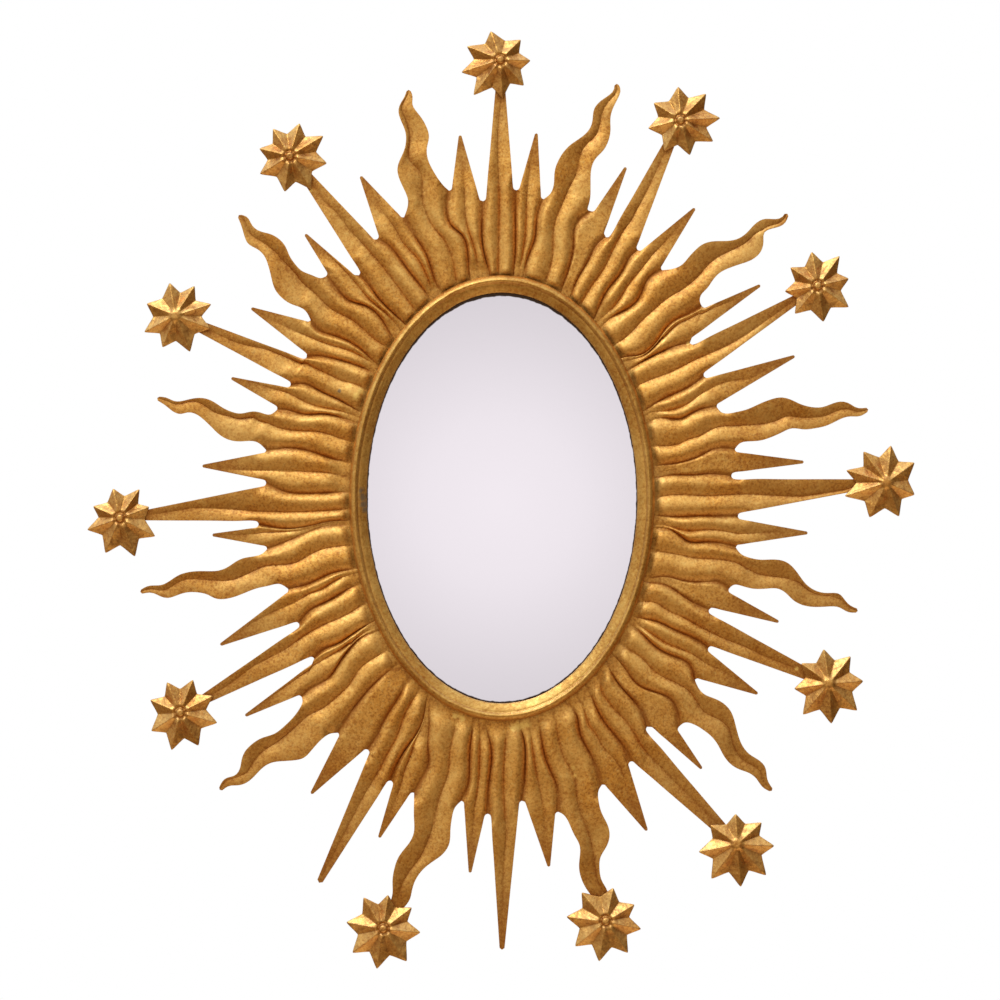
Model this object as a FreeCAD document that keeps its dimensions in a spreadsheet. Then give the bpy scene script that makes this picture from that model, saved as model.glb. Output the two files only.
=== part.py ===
import FreeCAD, Part
import Sketcher
import math
import os

os.makedirs("parts", exist_ok=True)
doc = FreeCAD.newDocument("oval_sunburst_mirror")
Vector = FreeCAD.Vector

# Frame: X to the right, Z up, the mirror faces -Y, the wall is toward +Y.
# The origin is the centre of the oval on the rear face of the backing board.

# Driving dimensions in millimetres, kept in a spreadsheet
driving_dimensions = {
    "overall_width": 826.0,
    "overall_height": 936.0,
    "opening_half_width": 135.5,
    "opening_half_height": 205.5,
    "bezel_width": 17.0,
    "bezel_seat_clearance": 0.3,
    "glass_overlap": 4.5,
    "glass_thickness": 3.0,
    "rim_clearance": 1.0,
    "liner_thickness": 1.0,
    "board_thickness": 5.0,
    "hoop_wall": 2.0,
    "ray_plane_depth": 13.0,
    "ray_sheet_thickness": 1.2,
    "rib_height": 5.2,
    "bezel_crest_rise": 5.6,
    "notch_radius": 3.4,
    "short_ray_end_half_width": 1.5,
    "flame_tip_half_width": 2.2,
    "star_seat_gap": 1.9,
    "star_height": 10.5,
    "star_sheet_thickness": 1.2,
    "star_hub_radius": 7.0,
    "stud_radius": 1.0,
    "lug_width": 12.0,
    "lug_reach": 11.0,
    "lug_thickness": 2.0,
    "button_length": 30.0,
    "button_width": 9.0,
    "button_thickness": 1.2,
    "button_gap": 0.1,
    "pivot_radius": 1.6,
    "pivot_clearance": 0.08,
    "pivot_head_radius": 3.2,
    "pivot_head_height": 1.2,
    "hanger_spacing": 170.0,
    "hanger_height": 104.0,
    "strap_width": 14.0,
    "strap_length": 13.0,
    "strap_thickness": 1.2,
    "ring_wire_radius": 1.25,
    "ring_half_width": 10.5,
    "ring_reach": 8.0,
    "ring_corner_radius": 2.5,
    "curl_clearance": 0.09,
    "screw_radius": 1.5,
    "screw_head_radius": 3.2,
    "screw_head_height": 1.1,
    "bumper_radius": 6.5,
    "bumper_height": 6.0,
    "bumper_spacing_x": 130.0,
    "bumper_spacing_z": 300.0,
}

sheet = doc.addObject("Spreadsheet::Sheet", "dimensions")
for row, (name, value) in enumerate(driving_dimensions.items(), start=1):
    cell = "B%d" % row
    sheet.set("A%d" % row, name)
    sheet.set(cell, str(value))
    sheet.setAlias(cell, name)
doc.recompute()


class Size:
    """The driving dimensions, read back from the spreadsheet."""


for name in driving_dimensions:
    setattr(Size, name, float(sheet.get(name)))

# Left, right, top and bottom of the object in the photograph's 1000 x 1000 pixels,
# the oval's centre, and half the bezel's outer width and height
extent_pixels = (88, 914, 32, 968)
centre_pixels = (502, 498)
bezel_half_pixels = (152.5, 222.5)

mm_per_pixel_x = Size.overall_width/(extent_pixels[1] - extent_pixels[0])
mm_per_pixel_z = Size.overall_height/(extent_pixels[3] - extent_pixels[2])

# Valley lines between the rays, clockwise from the top, each from the bezel out to its notch
valley_pixels = {
    0: [(489, 273), (485, 257), (482, 238), (482, 220), (483, 201)],
    1: [(514, 273), (515.5, 250), (515.5, 225), (516, 190)],
    2: [(524, 273.5), (528, 257), (535, 238), (537, 218), (543.5, 199)],
    3: [(562, 290), (569, 268), (573.5, 247), (575, 229), (581, 218), (591, 211)],
    4: [(570, 296), (577, 280), (588, 261), (599.5, 242), (606, 237)],
    5: [(594.5, 318), (603.5, 297), (613, 283), (623, 270), (631, 256), (638, 250)],
    6: [(601.5, 327), (616, 314.5), (630, 307), (639, 298), (645, 285), (651, 276), (662, 270)],
    7: [(622, 358), (639, 355), (653, 346), (662, 334), (672, 322), (688, 314), (702, 306)],
    8: [(627, 371), (642, 361.5), (662, 351.5), (680, 345), (690, 343)],
    9: [(643.5, 411), (658, 402), (676, 393), (695, 383.5), (704, 376)],
    10: [(645.5, 424), (653, 420), (667, 418), (681, 418.5), (691, 413.5), (702, 409), (717, 407)],
    11: [(653, 466), (669, 464.5), (686, 461), (700, 456), (713, 449.5), (725, 448), (735, 449)],
    12: [(653.5, 478), (665, 475.5), (690, 475), (713, 474), (731.5, 476)],
    13: [(654, 515.5), (675, 517), (700, 516), (720, 516.5), (738, 516)],
    14: [(653, 528), (668, 529), (679, 534.5), (688, 541), (706, 542), (736, 547.5)],
    15: [(645.5, 578), (662, 577), (680, 580), (706, 582), (719, 582), (729, 589)],
    16: [(644.5, 581.5), (660, 583), (678, 592), (696, 604), (709, 610)],
    17: [(633, 616), (655, 621), (677, 631), (696, 639.5), (708.5, 648)],
    18: [(629, 623.5), (643, 634.5), (655, 646), (672, 655.5), (690, 665.5), (695, 680)],
    19: [(611.5, 653), (625, 669), (639, 685.5), (655, 692), (670, 699), (676, 707.5), (679, 727)],
    20: [(605.5, 661.5), (616, 680), (628, 694.5), (643, 714), (647, 727)],
    21: [(585, 684.5), (594, 703), (604, 721.5), (617, 738), (628, 756), (630, 762)],
    22: [(566, 700), (576, 713.5), (580, 733), (588, 750), (595, 764), (602, 785)],
    23: [(537, 715), (541.5, 740), (546, 760), (551, 772), (557, 787), (558, 812)],
    24: [(519, 719.5), (524.5, 742), (525, 770), (524, 788), (522, 801)],
    25: [(485, 719.5), (491, 747), (490.5, 770), (488, 793), (488, 814)],
    26: [(475.5, 717), (471, 740), (469.5, 765), (467.5, 788), (461.5, 801)],
    27: [(431, 694), (428.5, 725), (427.5, 745), (428.5, 763), (422, 779), (414, 793)],
    28: [(429, 692.5), (424, 717), (411, 742), (400, 758), (391, 781)],
    29: [(411.5, 675.5), (397, 700), (384, 721), (375, 740), (368, 750)],
    30: [(400, 662), (382, 677), (365, 694), (352, 711), (338, 733)],
    31: [(380, 629), (360, 638.5), (348, 650), (337, 666), (328, 679), (312, 688), (301.5, 697)],
    32: [(376, 620), (355, 632.5), (337, 644), (323, 650), (314, 658.5)],
    33: [(362.5, 582.5), (346, 590.5), (325, 602.5), (310, 610.5), (299, 624)],
    34: [(358.5, 568.5), (338, 571.5), (321, 578), (306, 585), (288, 589)],
    35: [(351.5, 524.5), (330, 525.5), (316, 528.5), (302, 534.5), (288, 541), (267, 549)],
    36: [(351, 520.5), (330, 521.5), (310, 526), (285, 528.5), (258.5, 524)],
    37: [(350.5, 492), (325, 493), (300, 493.5), (282, 491), (266, 483)],
    38: [(352, 463), (335, 459.5), (314, 452.5), (295, 448.5), (266, 450)],
    39: [(357.5, 424), (341, 417.5), (323, 413.8), (302, 414), (288, 410.5), (277, 409.5)],
    40: [(361.5, 413), (341, 401), (321, 391.5), (303, 384), (290.5, 385)],
    41: [(376, 374), (356, 362), (332, 353), (314, 348), (306.5, 357)],
    42: [(379, 367), (365, 353), (350, 342), (330, 334.5), (317, 329), (310.5, 320)],
    43: [(394.5, 339), (380, 317), (364, 305), (348, 300), (338, 290), (326, 276)],
    44: [(405, 325), (388, 308.5), (376, 295), (366, 281), (359, 275)],
    45: [(431, 300), (416, 280), (402, 261.5), (388, 245), (377, 239)],
    46: [(440, 293), (433, 275), (426, 254), (415, 236), (404, 217)],
    47: [(470, 275), (468, 255), (462, 234.5), (451, 225), (447, 212), (449, 190.5)],
}

# Groove down the middle of each ray, from the bezel outward; rays not listed here have it halfway
groove_pixels = {
    0: [(498.5, 272), (499, 235), (499.5, 200), (498, 150), (499, 120), (502, 100)],
    1: [(519, 272), (525.5, 235), (527, 200), (530, 165)],
    2: [(546, 281), (549, 272), (553, 255), (553.5, 235), (556, 220), (563, 203), (570, 187),
        (577, 172), (580, 158), (586, 145), (595.5, 136), (600, 124.5), (603, 111), (609, 101.5),
        (614, 96)],
    4: [(583, 301), (592, 286), (601.5, 273), (611, 255), (621.5, 234.5), (632, 220)],
    5: [(598, 321), (617, 303), (629.5, 284), (640, 271), (651, 257)],
    6: [(611, 347), (631, 333), (641, 322), (657.5, 307), (667, 299), (679.5, 291.5), (690, 284),
        (700, 275), (709, 264.5), (719, 257), (734.5, 249), (747.5, 241.5), (757.5, 232.5),
        (764, 229.5)],
    7: [(663, 338), (672, 329), (681, 321.5), (694, 315), (715, 305)],
    8: [(633, 388.5), (648, 381), (667, 374), (680, 368), (696, 359.5), (711.5, 353),
        (728, 345.5), (746, 335), (770, 318)],
    9: [(652, 412), (681, 407), (701, 394.5), (724.5, 382.5), (750.5, 379.5)],
    10: [(653.5, 446), (668.5, 446), (679, 444), (690, 439), (700.5, 436), (710, 430.5),
         (720, 427), (735, 426), (755, 425), (775, 421.5), (785, 417)],
    12: [(655, 498), (675, 495), (700, 496), (740, 494.5), (780, 497), (800, 497.5)],
    13: [(672, 527), (690, 531), (705, 530), (722, 531), (738, 534)],
    14: [(654, 551), (673.5, 554), (684, 556), (697, 558.5), (710, 559), (726, 560.5), (739, 564),
         (750, 570.5), (759, 574.5), (770, 576.5), (786, 578.5), (800, 583.5), (810, 589.5),
         (828, 595), (841, 600)],
    16: [(639.5, 602), (656, 603), (668, 610.5), (682, 617), (697, 625), (711, 632.5),
         (721, 637.5), (740, 645), (765, 657)],
    17: [(672.5, 646), (683, 650), (697, 657), (706, 663.5), (721, 669.5)],
    18: [(621, 643.5), (629, 650), (641, 657.5), (653, 670), (672.5, 681.5), (692, 694.5),
         (703.5, 711.5), (713, 717), (722, 721.5), (729, 729)],
    20: [(600, 680), (601, 688), (604, 695.5), (608.5, 702), (615, 710), (622.5, 717.5),
         (630, 727), (644.5, 750), (655, 762)],
    21: [(590, 727), (594.5, 732.5), (600, 741.5), (605, 750), (613, 758), (620.5, 768.5)],
    22: [(552.5, 711), (556, 725), (558.5, 737), (561, 749), (565, 760), (570.5, 769), (575, 780),
         (577, 797), (582, 816), (588, 831.5), (593.5, 853), (595, 867), (597.5, 881)],
    23: [(530, 720), (533, 750), (537, 775), (541, 795), (545, 820)],
    24: [(507, 722), (506, 740), (504.5, 760), (504, 790), (506, 830)],
    25: [(480, 722), (480, 750), (479, 780)],
    26: [(458, 718), (454, 733), (450, 751.5), (449, 770), (443.5, 787.5), (440, 797), (431, 833),
         (425.5, 847), (420, 858), (411, 869.5), (403, 883.5), (398.5, 895)],
    27: [(425, 712), (417, 730), (411, 755), (405, 770), (402, 782)],
    28: [(420.5, 688.5), (410.5, 704), (402, 722), (397, 736.5), (386.5, 756), (380, 770)],
    30: [(390, 648), (376.5, 657), (366, 663.5), (357, 672.5), (350, 684), (337, 697), (322, 709),
         (309, 715.5), (300, 723), (290, 732), (277, 742.5), (261.5, 753), (254, 762),
         (247.5, 772), (235, 778)],
    31: [(350, 643), (335, 653), (318, 663), (300, 674), (277, 690)],
    32: [(367, 602), (350, 613), (336, 620), (323, 625.5), (300, 639), (282, 651.5), (265, 660),
         (254, 665.5)],
    33: [(352, 574), (332, 582.5), (322, 589), (309, 594), (300, 599.5), (278, 609.5), (255, 621)],
    34: [(351.5, 545), (339.5, 546.5), (324.5, 549), (314, 553), (305, 558), (295, 563),
         (275.5, 565.5), (262, 567.5), (255.5, 570.5), (244.5, 575.5), (233, 580), (219, 581),
         (199, 579.5), (183.5, 580)],
    35: [(300, 531), (260, 533)],
    36: [(350, 509), (300, 512), (250, 511), (215, 508.5), (195, 508)],
    37: [(350, 478), (340, 475.5), (327, 473), (308, 472), (288, 471), (250, 470.5), (217, 469)],
    38: [(352, 442), (340, 438.5), (327, 434), (314, 431.5), (301, 431), (288.5, 430), (276, 427),
         (267, 423), (259, 421), (251, 416), (239.5, 415.5), (228, 416), (220, 414.5),
         (211, 410.5), (201.5, 404), (191.5, 401)],
    39: [(355, 416), (340, 411), (309.5, 404), (298, 398.5), (288.5, 393.5), (279, 390.5),
         (255, 383)],
    40: [(369, 391), (351, 383), (341, 380.5), (331.5, 376), (317.5, 369.5), (308, 364.5),
         (291, 358), (270, 349)],
    41: [(372, 363), (350, 351), (330, 345), (310, 337.5), (295, 331), (275, 322)],
    42: [(384, 345.5), (375, 339.5), (368, 333.5), (360.5, 327), (351, 319.5), (341, 314.5),
         (331.5, 309.5), (322, 301), (312.5, 291.5), (302, 282.5), (293, 271), (284, 262),
         (275, 252), (265, 244), (257, 239)],
    43: [(385, 312), (368, 298), (355, 282.5), (341, 267), (325, 250)],
    44: [(414.5, 309.5), (401.5, 292), (391.5, 278.5), (383, 267), (375.5, 258.5), (367.5, 249.5),
         (360, 241), (350.5, 231.5), (342, 220), (333, 209.5), (322.5, 200.5)],
    45: [(432, 289), (425, 272), (416, 256.5), (409, 249.5), (402, 241), (396.5, 231), (385, 215)],
    46: [(456, 279), (452.5, 260), (448.5, 248), (442.5, 238), (434.5, 228.5), (427, 215),
         (423.5, 205), (422.5, 190), (420, 172), (410, 160), (409, 149), (408.5, 138), (408, 125),
         (404, 115), (402, 110)],
    47: [(478, 272), (475, 250), (467, 225), (465, 200), (464, 175)],
}

# Ends of the rays; those of starred rays lie under their star
ray_end_pixels = {
    0: (500.5, 58), 1: (536.5, 133), 2: (616.5, 83.5), 3: (626, 167),
    4: (681.5, 118), 5: (695, 208), 6: (787.5, 213.5), 7: (760.5, 285),
    8: (820, 285), 9: (795, 356), 10: (868.5, 409.5), 11: (804, 462),
    12: (889, 482), 13: (808, 533), 14: (858, 611), 15: (779, 622),
    16: (831, 685), 17: (758, 694), 18: (772, 791), 19: (702, 769),
    20: (738, 846), 21: (647, 831), 22: (606, 924), 23: (549, 867),
    24: (502, 950), 25: (470, 873), 26: (381, 931), 27: (379, 838),
    28: (319, 883), 29: (311, 794), 30: (219.5, 790), 31: (245, 716),
    32: (178, 714), 33: (220, 645), 34: (140, 592), 35: (212, 535),
    36: (117, 518), 37: (202, 466), 38: (157, 398), 39: (231, 378),
    40: (173.5, 314.5), 41: (251, 308), 42: (238.5, 215), 43: (305, 234),
    44: (289, 154), 45: (360.5, 176), 46: (408.7, 89.5), 47: (460, 135),
}

# Widths of the long rays' ends, in pixels
long_ray_end_width_pixels = {
    0: 5, 4: 7, 8: 5, 12: 6, 16: 8, 20: 10, 24: 5, 28: 6, 32: 5, 36: 5, 40: 8, 44: 6,
}

# Wavy edges of the flame rays between notch and tip, first the anticlockwise edge
flame_edge_pixels = {
    2: ([(550, 194), (554, 182), (554.5, 172.5), (558, 161.5), (565, 150.5), (570, 145.5),
          (582.5, 136.5), (589.5, 129), (592.5, 120), (594, 109.5), (600, 101.5), (609, 95),
          (614, 89)],
        [(588, 210), (588.5, 205.5), (590.5, 190.5), (590.5, 180), (591.5, 168), (595.5, 159),
         (603, 151), (608, 142), (610.5, 130.5), (610.5, 117.5), (614, 106), (619, 96), (620.5, 89)]),
    6: ([(672, 269), (681, 265.5), (688.5, 257.5), (695.5, 250), (702.5, 244.5), (713, 241.5),
          (728, 241), (738.5, 238.5), (747.5, 232), (755, 224), (764, 219), (774.5, 219), (782, 217)],
        [(700, 302), (700.5, 296), (706.5, 289), (711.5, 282), (719, 273.5), (729.5, 268),
         (741, 264), (751.5, 260), (760.5, 252), (763.5, 240.5), (764.5, 232.5), (769, 229.5),
         (778, 227), (784.5, 223.5)]),
    10: ([(721, 412), (736.5, 412), (746.5, 409.5), (759, 404), (770.5, 399.5), (781, 397.5),
          (790, 399.5), (800, 404), (811, 407), (822.5, 407), (832.5, 403.5), (841.5, 401.5),
          (849.5, 403.5), (856.5, 407.5)],
        [(740.5, 443), (747.5, 441.5), (760.5, 440.5), (771.5, 437), (781.5, 432.5),
         (791.5, 428.5), (804, 429.5), (814, 428.5), (825.5, 426), (836.5, 421), (849.5, 416.5),
         (860.5, 416)]),
    14: ([(740.5, 553.5), (749, 557.5), (759, 559.5), (776, 559.5), (786, 562), (793, 567.5),
          (800, 576.5), (807, 585), (815.5, 590.5), (828, 593), (839.5, 594), (845, 600),
          (850.5, 605.5)],
        [(733.5, 585), (742, 586), (752, 588.5), (767.5, 588.5), (777, 588.5), (784.5, 592),
         (793, 600), (804, 605.5), (815.5, 607), (829.5, 606.5), (839.5, 607.5), (848, 612)]),
    18: ([(698, 687), (703.5, 693.5), (713.5, 698), (723, 703), (730.5, 711), (734.5, 721.5),
          (737.5, 733), (741.5, 744), (750, 754.5), (760, 761), (765.5, 768), (767.5, 779.5)],
        [(685, 722.5), (692, 723.5), (703.5, 730), (712, 737), (718.5, 746), (723, 754.5),
         (729, 762.5), (738.5, 769), (750, 773.5), (757, 779.5), (762.5, 787)]),
    22: ([(599, 789.5), (598.5, 800.5), (602, 813.5), (607.5, 824.5), (609.5, 836), (606, 847),
          (600.5, 857), (599.5, 868.5), (602, 881), (607, 890), (609, 900), (609, 915)],
        [(562.5, 814), (569.5, 824), (574.5, 835), (579.5, 845), (580, 853), (579, 867),
         (581.5, 879), (586.5, 889), (591.5, 896), (597, 905), (600, 916)]),
    26: ([(455, 807.5), (452, 817.5), (450.5, 830), (449.5, 842.5), (443, 853.5), (431, 862.5),
          (421, 871.5), (415, 881), (412, 890.5), (410, 899), (403, 909), (392, 922)],
        [(414, 804.5), (414, 817.5), (414, 831.5), (410, 841.5), (403, 850.5), (398, 858),
         (394.5, 868), (392.5, 881), (392.5, 893), (390, 903), (384, 918)]),
    30: ([(329.5, 734), (323, 738), (316.5, 744.5), (310.5, 751.5), (304, 757.5), (295, 760),
          (282, 761), (270.5, 763), (263, 767.5), (256.5, 774), (251.5, 779), (245, 783.5),
          (237, 785.5), (229.5, 786)],
        [(302.5, 700.5), (300, 708), (293.5, 717), (284.5, 726), (274.5, 733.5), (261.5, 738),
         (251.5, 744.5), (245, 751.5), (241.5, 760.5), (239.5, 769.5), (234.5, 775.5),
         (225.5, 778.5)]),
    34: ([(279.5, 584), (269.5, 585.5), (258, 588), (247, 592), (235.5, 596.5), (224.5, 599),
          (216, 598.5), (207.5, 594.5), (199, 592.5), (186.5, 592.5), (176.5, 595.5), (168, 598),
          (159.5, 596), (152.5, 593)],
        [(262.5, 553.5), (255.5, 556), (242.5, 558.5), (235.5, 562), (227, 567.5), (218.5, 570.5),
         (204.5, 571), (189, 572), (179, 575), (169.5, 581), (161, 585), (148, 586)]),
    38: ([(256.5, 442), (241, 441.5), (229.5, 440), (220, 435), (211.5, 427), (203, 419),
          (194.5, 413.5), (187.5, 412.5), (180.5, 414), (173, 411.5), (166, 406)],
        [(270.5, 414.5), (262, 413), (253.5, 411.5), (241, 413.5), (231, 411.5), (222.5, 407.5),
         (214, 402), (205.5, 398.5), (196, 398), (186, 400), (174.5, 401), (166, 397.5)]),
    42: ([(304.5, 310), (292, 304.5), (281.5, 297.5), (275, 289), (271.5, 277.5), (268.5, 266),
          (264, 255.5), (257, 249), (248, 243.5), (244.5, 236.5), (241, 225)],
        [(321.5, 278), (312.5, 275.5), (302, 271), (295.5, 264.5), (290, 256.5), (285.5, 246.5),
         (279, 239), (270, 234), (258.5, 230.5), (252, 225), (247, 217)]),
    46: ([(408, 200), (405.5, 192.5), (400, 180.5), (397.5, 170), (400, 160), (404, 151),
          (406, 141.5), (405.5, 132.5), (400.5, 119.5), (398.5, 109.5), (401, 102.5), (404.5, 96.5)],
        [(445.5, 187.5), (440, 181.5), (433.5, 171.5), (428, 159.5), (427, 148), (429, 137),
         (426.5, 127), (421.5, 118), (415, 109.5), (412.5, 104.5), (412.5, 96)]),
}

# Hub and the eight tips of each star, clockwise
star_pixels = {
    0: ((500.5, 61), [(491, 32), (520.5, 40.5), (530, 61), (523.5, 85.5), (502.5, 98), (474, 95), (462, 72.5),
          (467.5, 47)]),
    4: ((680, 121), [(678, 87.5), (705.5, 94.5), (719.5, 118.5), (712.5, 141.5), (689.5, 155), (664.5, 151),
          (648.5, 128.5), (654, 103.5)]),
    8: ((817, 286.5), [(811.5, 252.5), (839, 256.5), (848, 279), (848, 307), (823, 321.5), (795, 313.5),
          (785, 291.5), (790.5, 268)]),
    12: ((885.5, 482.5), [(863.5, 452), (890.5, 446), (913.8, 463), (913.8, 494.5), (898.5, 516), (869.5, 517),
          (845, 496), (846.5, 470.5)]),
    16: ((828, 683), [(823.5, 649.5), (850, 656.5), (862.5, 681), (856.5, 710), (831, 723), (803, 714),
          (794.5, 688.5), (801.5, 663.5)]),
    20: ((736.5, 843), [(735.5, 814), (761, 822.5), (773.5, 845.5), (765.5, 874.5), (740.5, 886), (711.5, 878),
          (699, 851.5), (710.5, 825)]),
    22: ((605.5, 920), [(582, 892.5), (613, 888), (634, 904.5), (640.5, 928.5), (627.5, 952), (599, 960.5),
          (575.5, 945.5), (567, 916.5)]),
    26: ((383.5, 927.5), [(364, 897.5), (388, 895), (411.5, 907.5), (420, 932), (406.5, 960.5), (377, 968),
          (353, 952), (347, 922)]),
    32: ((181, 712), [(167.5, 682.5), (193, 680), (212.5, 696), (217, 722.5), (198.5, 745), (172, 749.5),
          (152, 730.5), (151, 700)]),
    36: ((121, 518), [(113.5, 489), (139.5, 489.5), (149, 507), (155, 536), (135, 556), (106, 552.5),
          (88, 529.5), (94, 506.5)]),
    40: ((176.5, 316), [(170, 283.5), (194.5, 286.5), (211, 304.5), (210, 328.5), (190, 351.5), (163, 347),
          (145, 332), (147.5, 304)]),
    44: ((290.5, 157), [(273.5, 129.5), (299.5, 124), (323, 136.5), (326.5, 163.5), (311, 189), (285, 191.5),
          (260.5, 174), (260, 149)]),
}

# Stars pressed without the round nub in their centre
plain_stars = (12, 16, 20, 40)

ray_count = 48
rays_per_panel = 4

# Rows and columns of the pressed surfaces, as shares of each line's length
base_row_shares = (0.0, 0.12, 0.28, 0.46, 0.64, 0.82, 1.0)
free_row_shares = (0.0, 0.025, 0.06, 0.12, 0.2, 0.3, 0.4, 0.5, 0.6, 0.7, 0.8, 0.9, 1.0)
strip_column_shares = (0.0, 0.18, 0.5, 0.82, 1.0)
edge_station_shares = (0.0, 0.1, 0.3, 0.5, 0.7, 0.85, 1.0)

# Heights across one strip, from its outer line to the groove, as shares of the rib height
rib_height_shares = (0.0, 0.62, 1.0, 0.74, 0.18)
notch_height_shares = (0.0, 0.7, 0.97, 0.64, 0.16)
channel_height_shares = (1.0, 0.9, 0.6, 0.25, 0.06)
rib_slope_share = 0.42
flame_channel_share = 1.25
tip_relief_share = 0.55
inner_relief_share = 0.8
short_inner_relief_share = 0.5
inner_relief_end_share = 0.4
channel_start_share = 0.28
star_cover_share = 0.74
star_flat_share = 0.86
end_round_share = 0.7
groove_margin_share = 0.2
groove_fade_rows = 3.0
groove_stations = 80
groove_station_shares = tuple(step/groove_stations for step in range(groove_stations + 1))
halfway_share = 0.5

# Rows of a star: shares of the hub's radius, then shares of the way to the rim
star_notch_share = 0.7
hub_radius_shares = (0.24, 0.42, 0.56, 0.7, 1.0)
nub_height_shares = (1.0, 0.95, 0.84, 0.71, 0.82)
plain_height_shares = (1.0, 0.985, 0.965, 0.93, 0.84)
arm_row_shares = (0.3, 0.6, 0.85, 1.0)
ridge_height_shares = (0.72, 0.54, 0.36, 0.2)
furrow_height_shares = (0.46, 0.2, 0.06, 0.0)
hub_furrow_drop_share = 0.24
star_row_shares = (0.0, 0.06, 0.11, 0.16, 0.26, 0.45, 0.65, 0.85, 1.0)

# Rim of a star from a tip to a notch: where each column ends, and how far it stands out
star_column_shares = (0.0, 0.25, 0.6, 0.85, 1.0)
star_rim_place_shares = (0.0, 0.16, 0.58, 0.86, 1.0)
star_rim_bulge_shares = (0.0, 0.02, 0.004, -0.004, 0.0)

# Section of the bezel: shares of its width outward, shares of its depth toward the viewer
bezel_section_shares = (
    (0.0, 0.0), (0.0, 0.34), (0.03, 0.39), (0.12, 0.48), (0.22, 0.57), (0.32, 0.65),
    (0.41, 0.715), (0.48, 0.745), (0.53, 0.8), (0.58, 0.875), (0.64, 0.945), (0.7, 0.985),
    (0.76, 1.0), (0.82, 0.985), (0.88, 0.94), (0.93, 0.87), (0.97, 0.78), (1.0, 0.66),
)


def reach_in_oval(point, half_x, half_z):
    """How far out a point lies, as a share of an oval's reach in the same direction."""
    return math.hypot(point.x/half_x, point.z/half_z)


def place(pixel):
    """A place in the plane of the rays, in millimetres, from a pixel of the photograph.

    Where the bezel differs from the measured one, the rays' roots follow it and their tips stay.
    """
    point = Vector((pixel[0] - centre_pixels[0])*mm_per_pixel_x, 0.0,
                   (centre_pixels[1] - pixel[1])*mm_per_pixel_z)
    measured = 1.0/reach_in_oval(point, bezel_half_pixels[0]*mm_per_pixel_x,
                                 bezel_half_pixels[1]*mm_per_pixel_z)
    built = 1.0/reach_in_oval(point, *oval_radii(Size.bezel_width))
    outermost = 1.0/reach_in_oval(point, Size.overall_width/2.0, Size.overall_height/2.0)
    outward = min(1.0, max(0.0, (1.0 - measured)/(outermost - measured)))
    return point*(1.0 + (built - measured)*(1.0 - outward))


def oval_radii(distance):
    """Half width and half height of the oval that lies a distance outside the mirror's opening."""
    return Size.opening_half_width + distance, Size.opening_half_height + distance


def on_oval(point, distance):
    """The point of that oval which lies in the same direction as the given point."""
    bezel_x, bezel_z = oval_radii(Size.bezel_width)
    turn = math.atan2(point.z/bezel_z, point.x/bezel_x)
    half_x, half_z = oval_radii(distance)
    return Vector(half_x*math.cos(turn), 0.0, half_z*math.sin(turn))


# Distances of the rim pieces outside the mirror's opening
glass_reach = Size.glass_overlap
hoop_inner_reach = glass_reach + Size.rim_clearance
hoop_outer_reach = hoop_inner_reach + Size.hoop_wall

# Planes along Y, from the backing board's rear face at zero toward the viewer
board_front_y = -Size.board_thickness
liner_front_y = board_front_y - Size.liner_thickness
glass_front_y = liner_front_y - Size.glass_thickness
valley_front_y = -Size.ray_plane_depth
bezel_seat_y = valley_front_y - Size.rib_height - Size.bezel_seat_clearance
bezel_crest_y = bezel_seat_y - Size.bezel_crest_rise
star_back_y = valley_front_y - Size.star_seat_gap


def smooth_step(value):
    value = min(1.0, max(0.0, value))
    return value*value*(3.0 - 2.0*value)


def between(first, second, share):
    return first + (second - first)*share


def stations(points, shares):
    """Points at shares of the length of a smooth curve through the given points."""
    curve = Part.BSplineCurve()
    curve.interpolate(points)
    length = curve.length()
    found = []
    for share in shares:
        found.append(curve.value(curve.parameterAtDistance(length*share, curve.FirstParameter)))
    return found


def net_surface(rows, row_shares, column_shares):
    """A cubic surface through a grid of points."""
    across = []
    for row in rows:
        row_curve = Part.BSplineCurve()
        row_curve.interpolate(Points=row, Parameters=list(column_shares))
        across.append(row_curve.getPoles())
    columns = []
    for points in zip(*across):
        column_curve = Part.BSplineCurve()
        column_curve.interpolate(Points=list(points), Parameters=list(row_shares))
        columns.append(column_curve.getPoles())
    poles = [list(row) for row in zip(*columns)]
    surface = Part.BSplineSurface()
    surface.buildFromPolesMultsKnots(
        poles, column_curve.getMultiplicities(), row_curve.getMultiplicities(),
        column_curve.getKnots(), row_curve.getKnots(), False, False,
        column_curve.Degree, row_curve.Degree)
    return surface


def sheet_solid(surfaces, rim_curves, thickness, caps=()):
    """A solid of pressed sheet from its front surfaces, its rim and flat front caps."""
    backward = Vector(0.0, thickness, 0.0)
    faces = []
    for surface in surfaces:
        faces.append(surface.toShape())
    faces.extend(caps)
    back_faces = []
    for face in faces:
        back_faces.append(face.translated(backward))
    rim_faces = []
    for curve in rim_curves:
        rim_faces.append(curve.toShape().extrude(backward))
    shell = Part.makeShell(faces + back_faces + rim_faces)
    shell.sewShape()
    solid = Part.makeSolid(shell)
    if solid.Volume < 0:
        solid.reverse()
    return solid


def ray_kind(index):
    return ("long", "short", "flame", "short")[index % rays_per_panel]


def valley_line(index):
    points = [place(pixel) for pixel in valley_pixels[index % ray_count]]
    points.insert(0, on_oval(points[0], hoop_outer_reach))
    return stations(points, base_row_shares)


def notch(index):
    return place(valley_pixels[index % ray_count][-1])


def ray_end(index):
    return place(ray_end_pixels[index % ray_count])


def end_half_width(index):
    if index in long_ray_end_width_pixels:
        return long_ray_end_width_pixels[index]*mm_per_pixel_x/2.0
    return Size.short_ray_end_half_width


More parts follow.
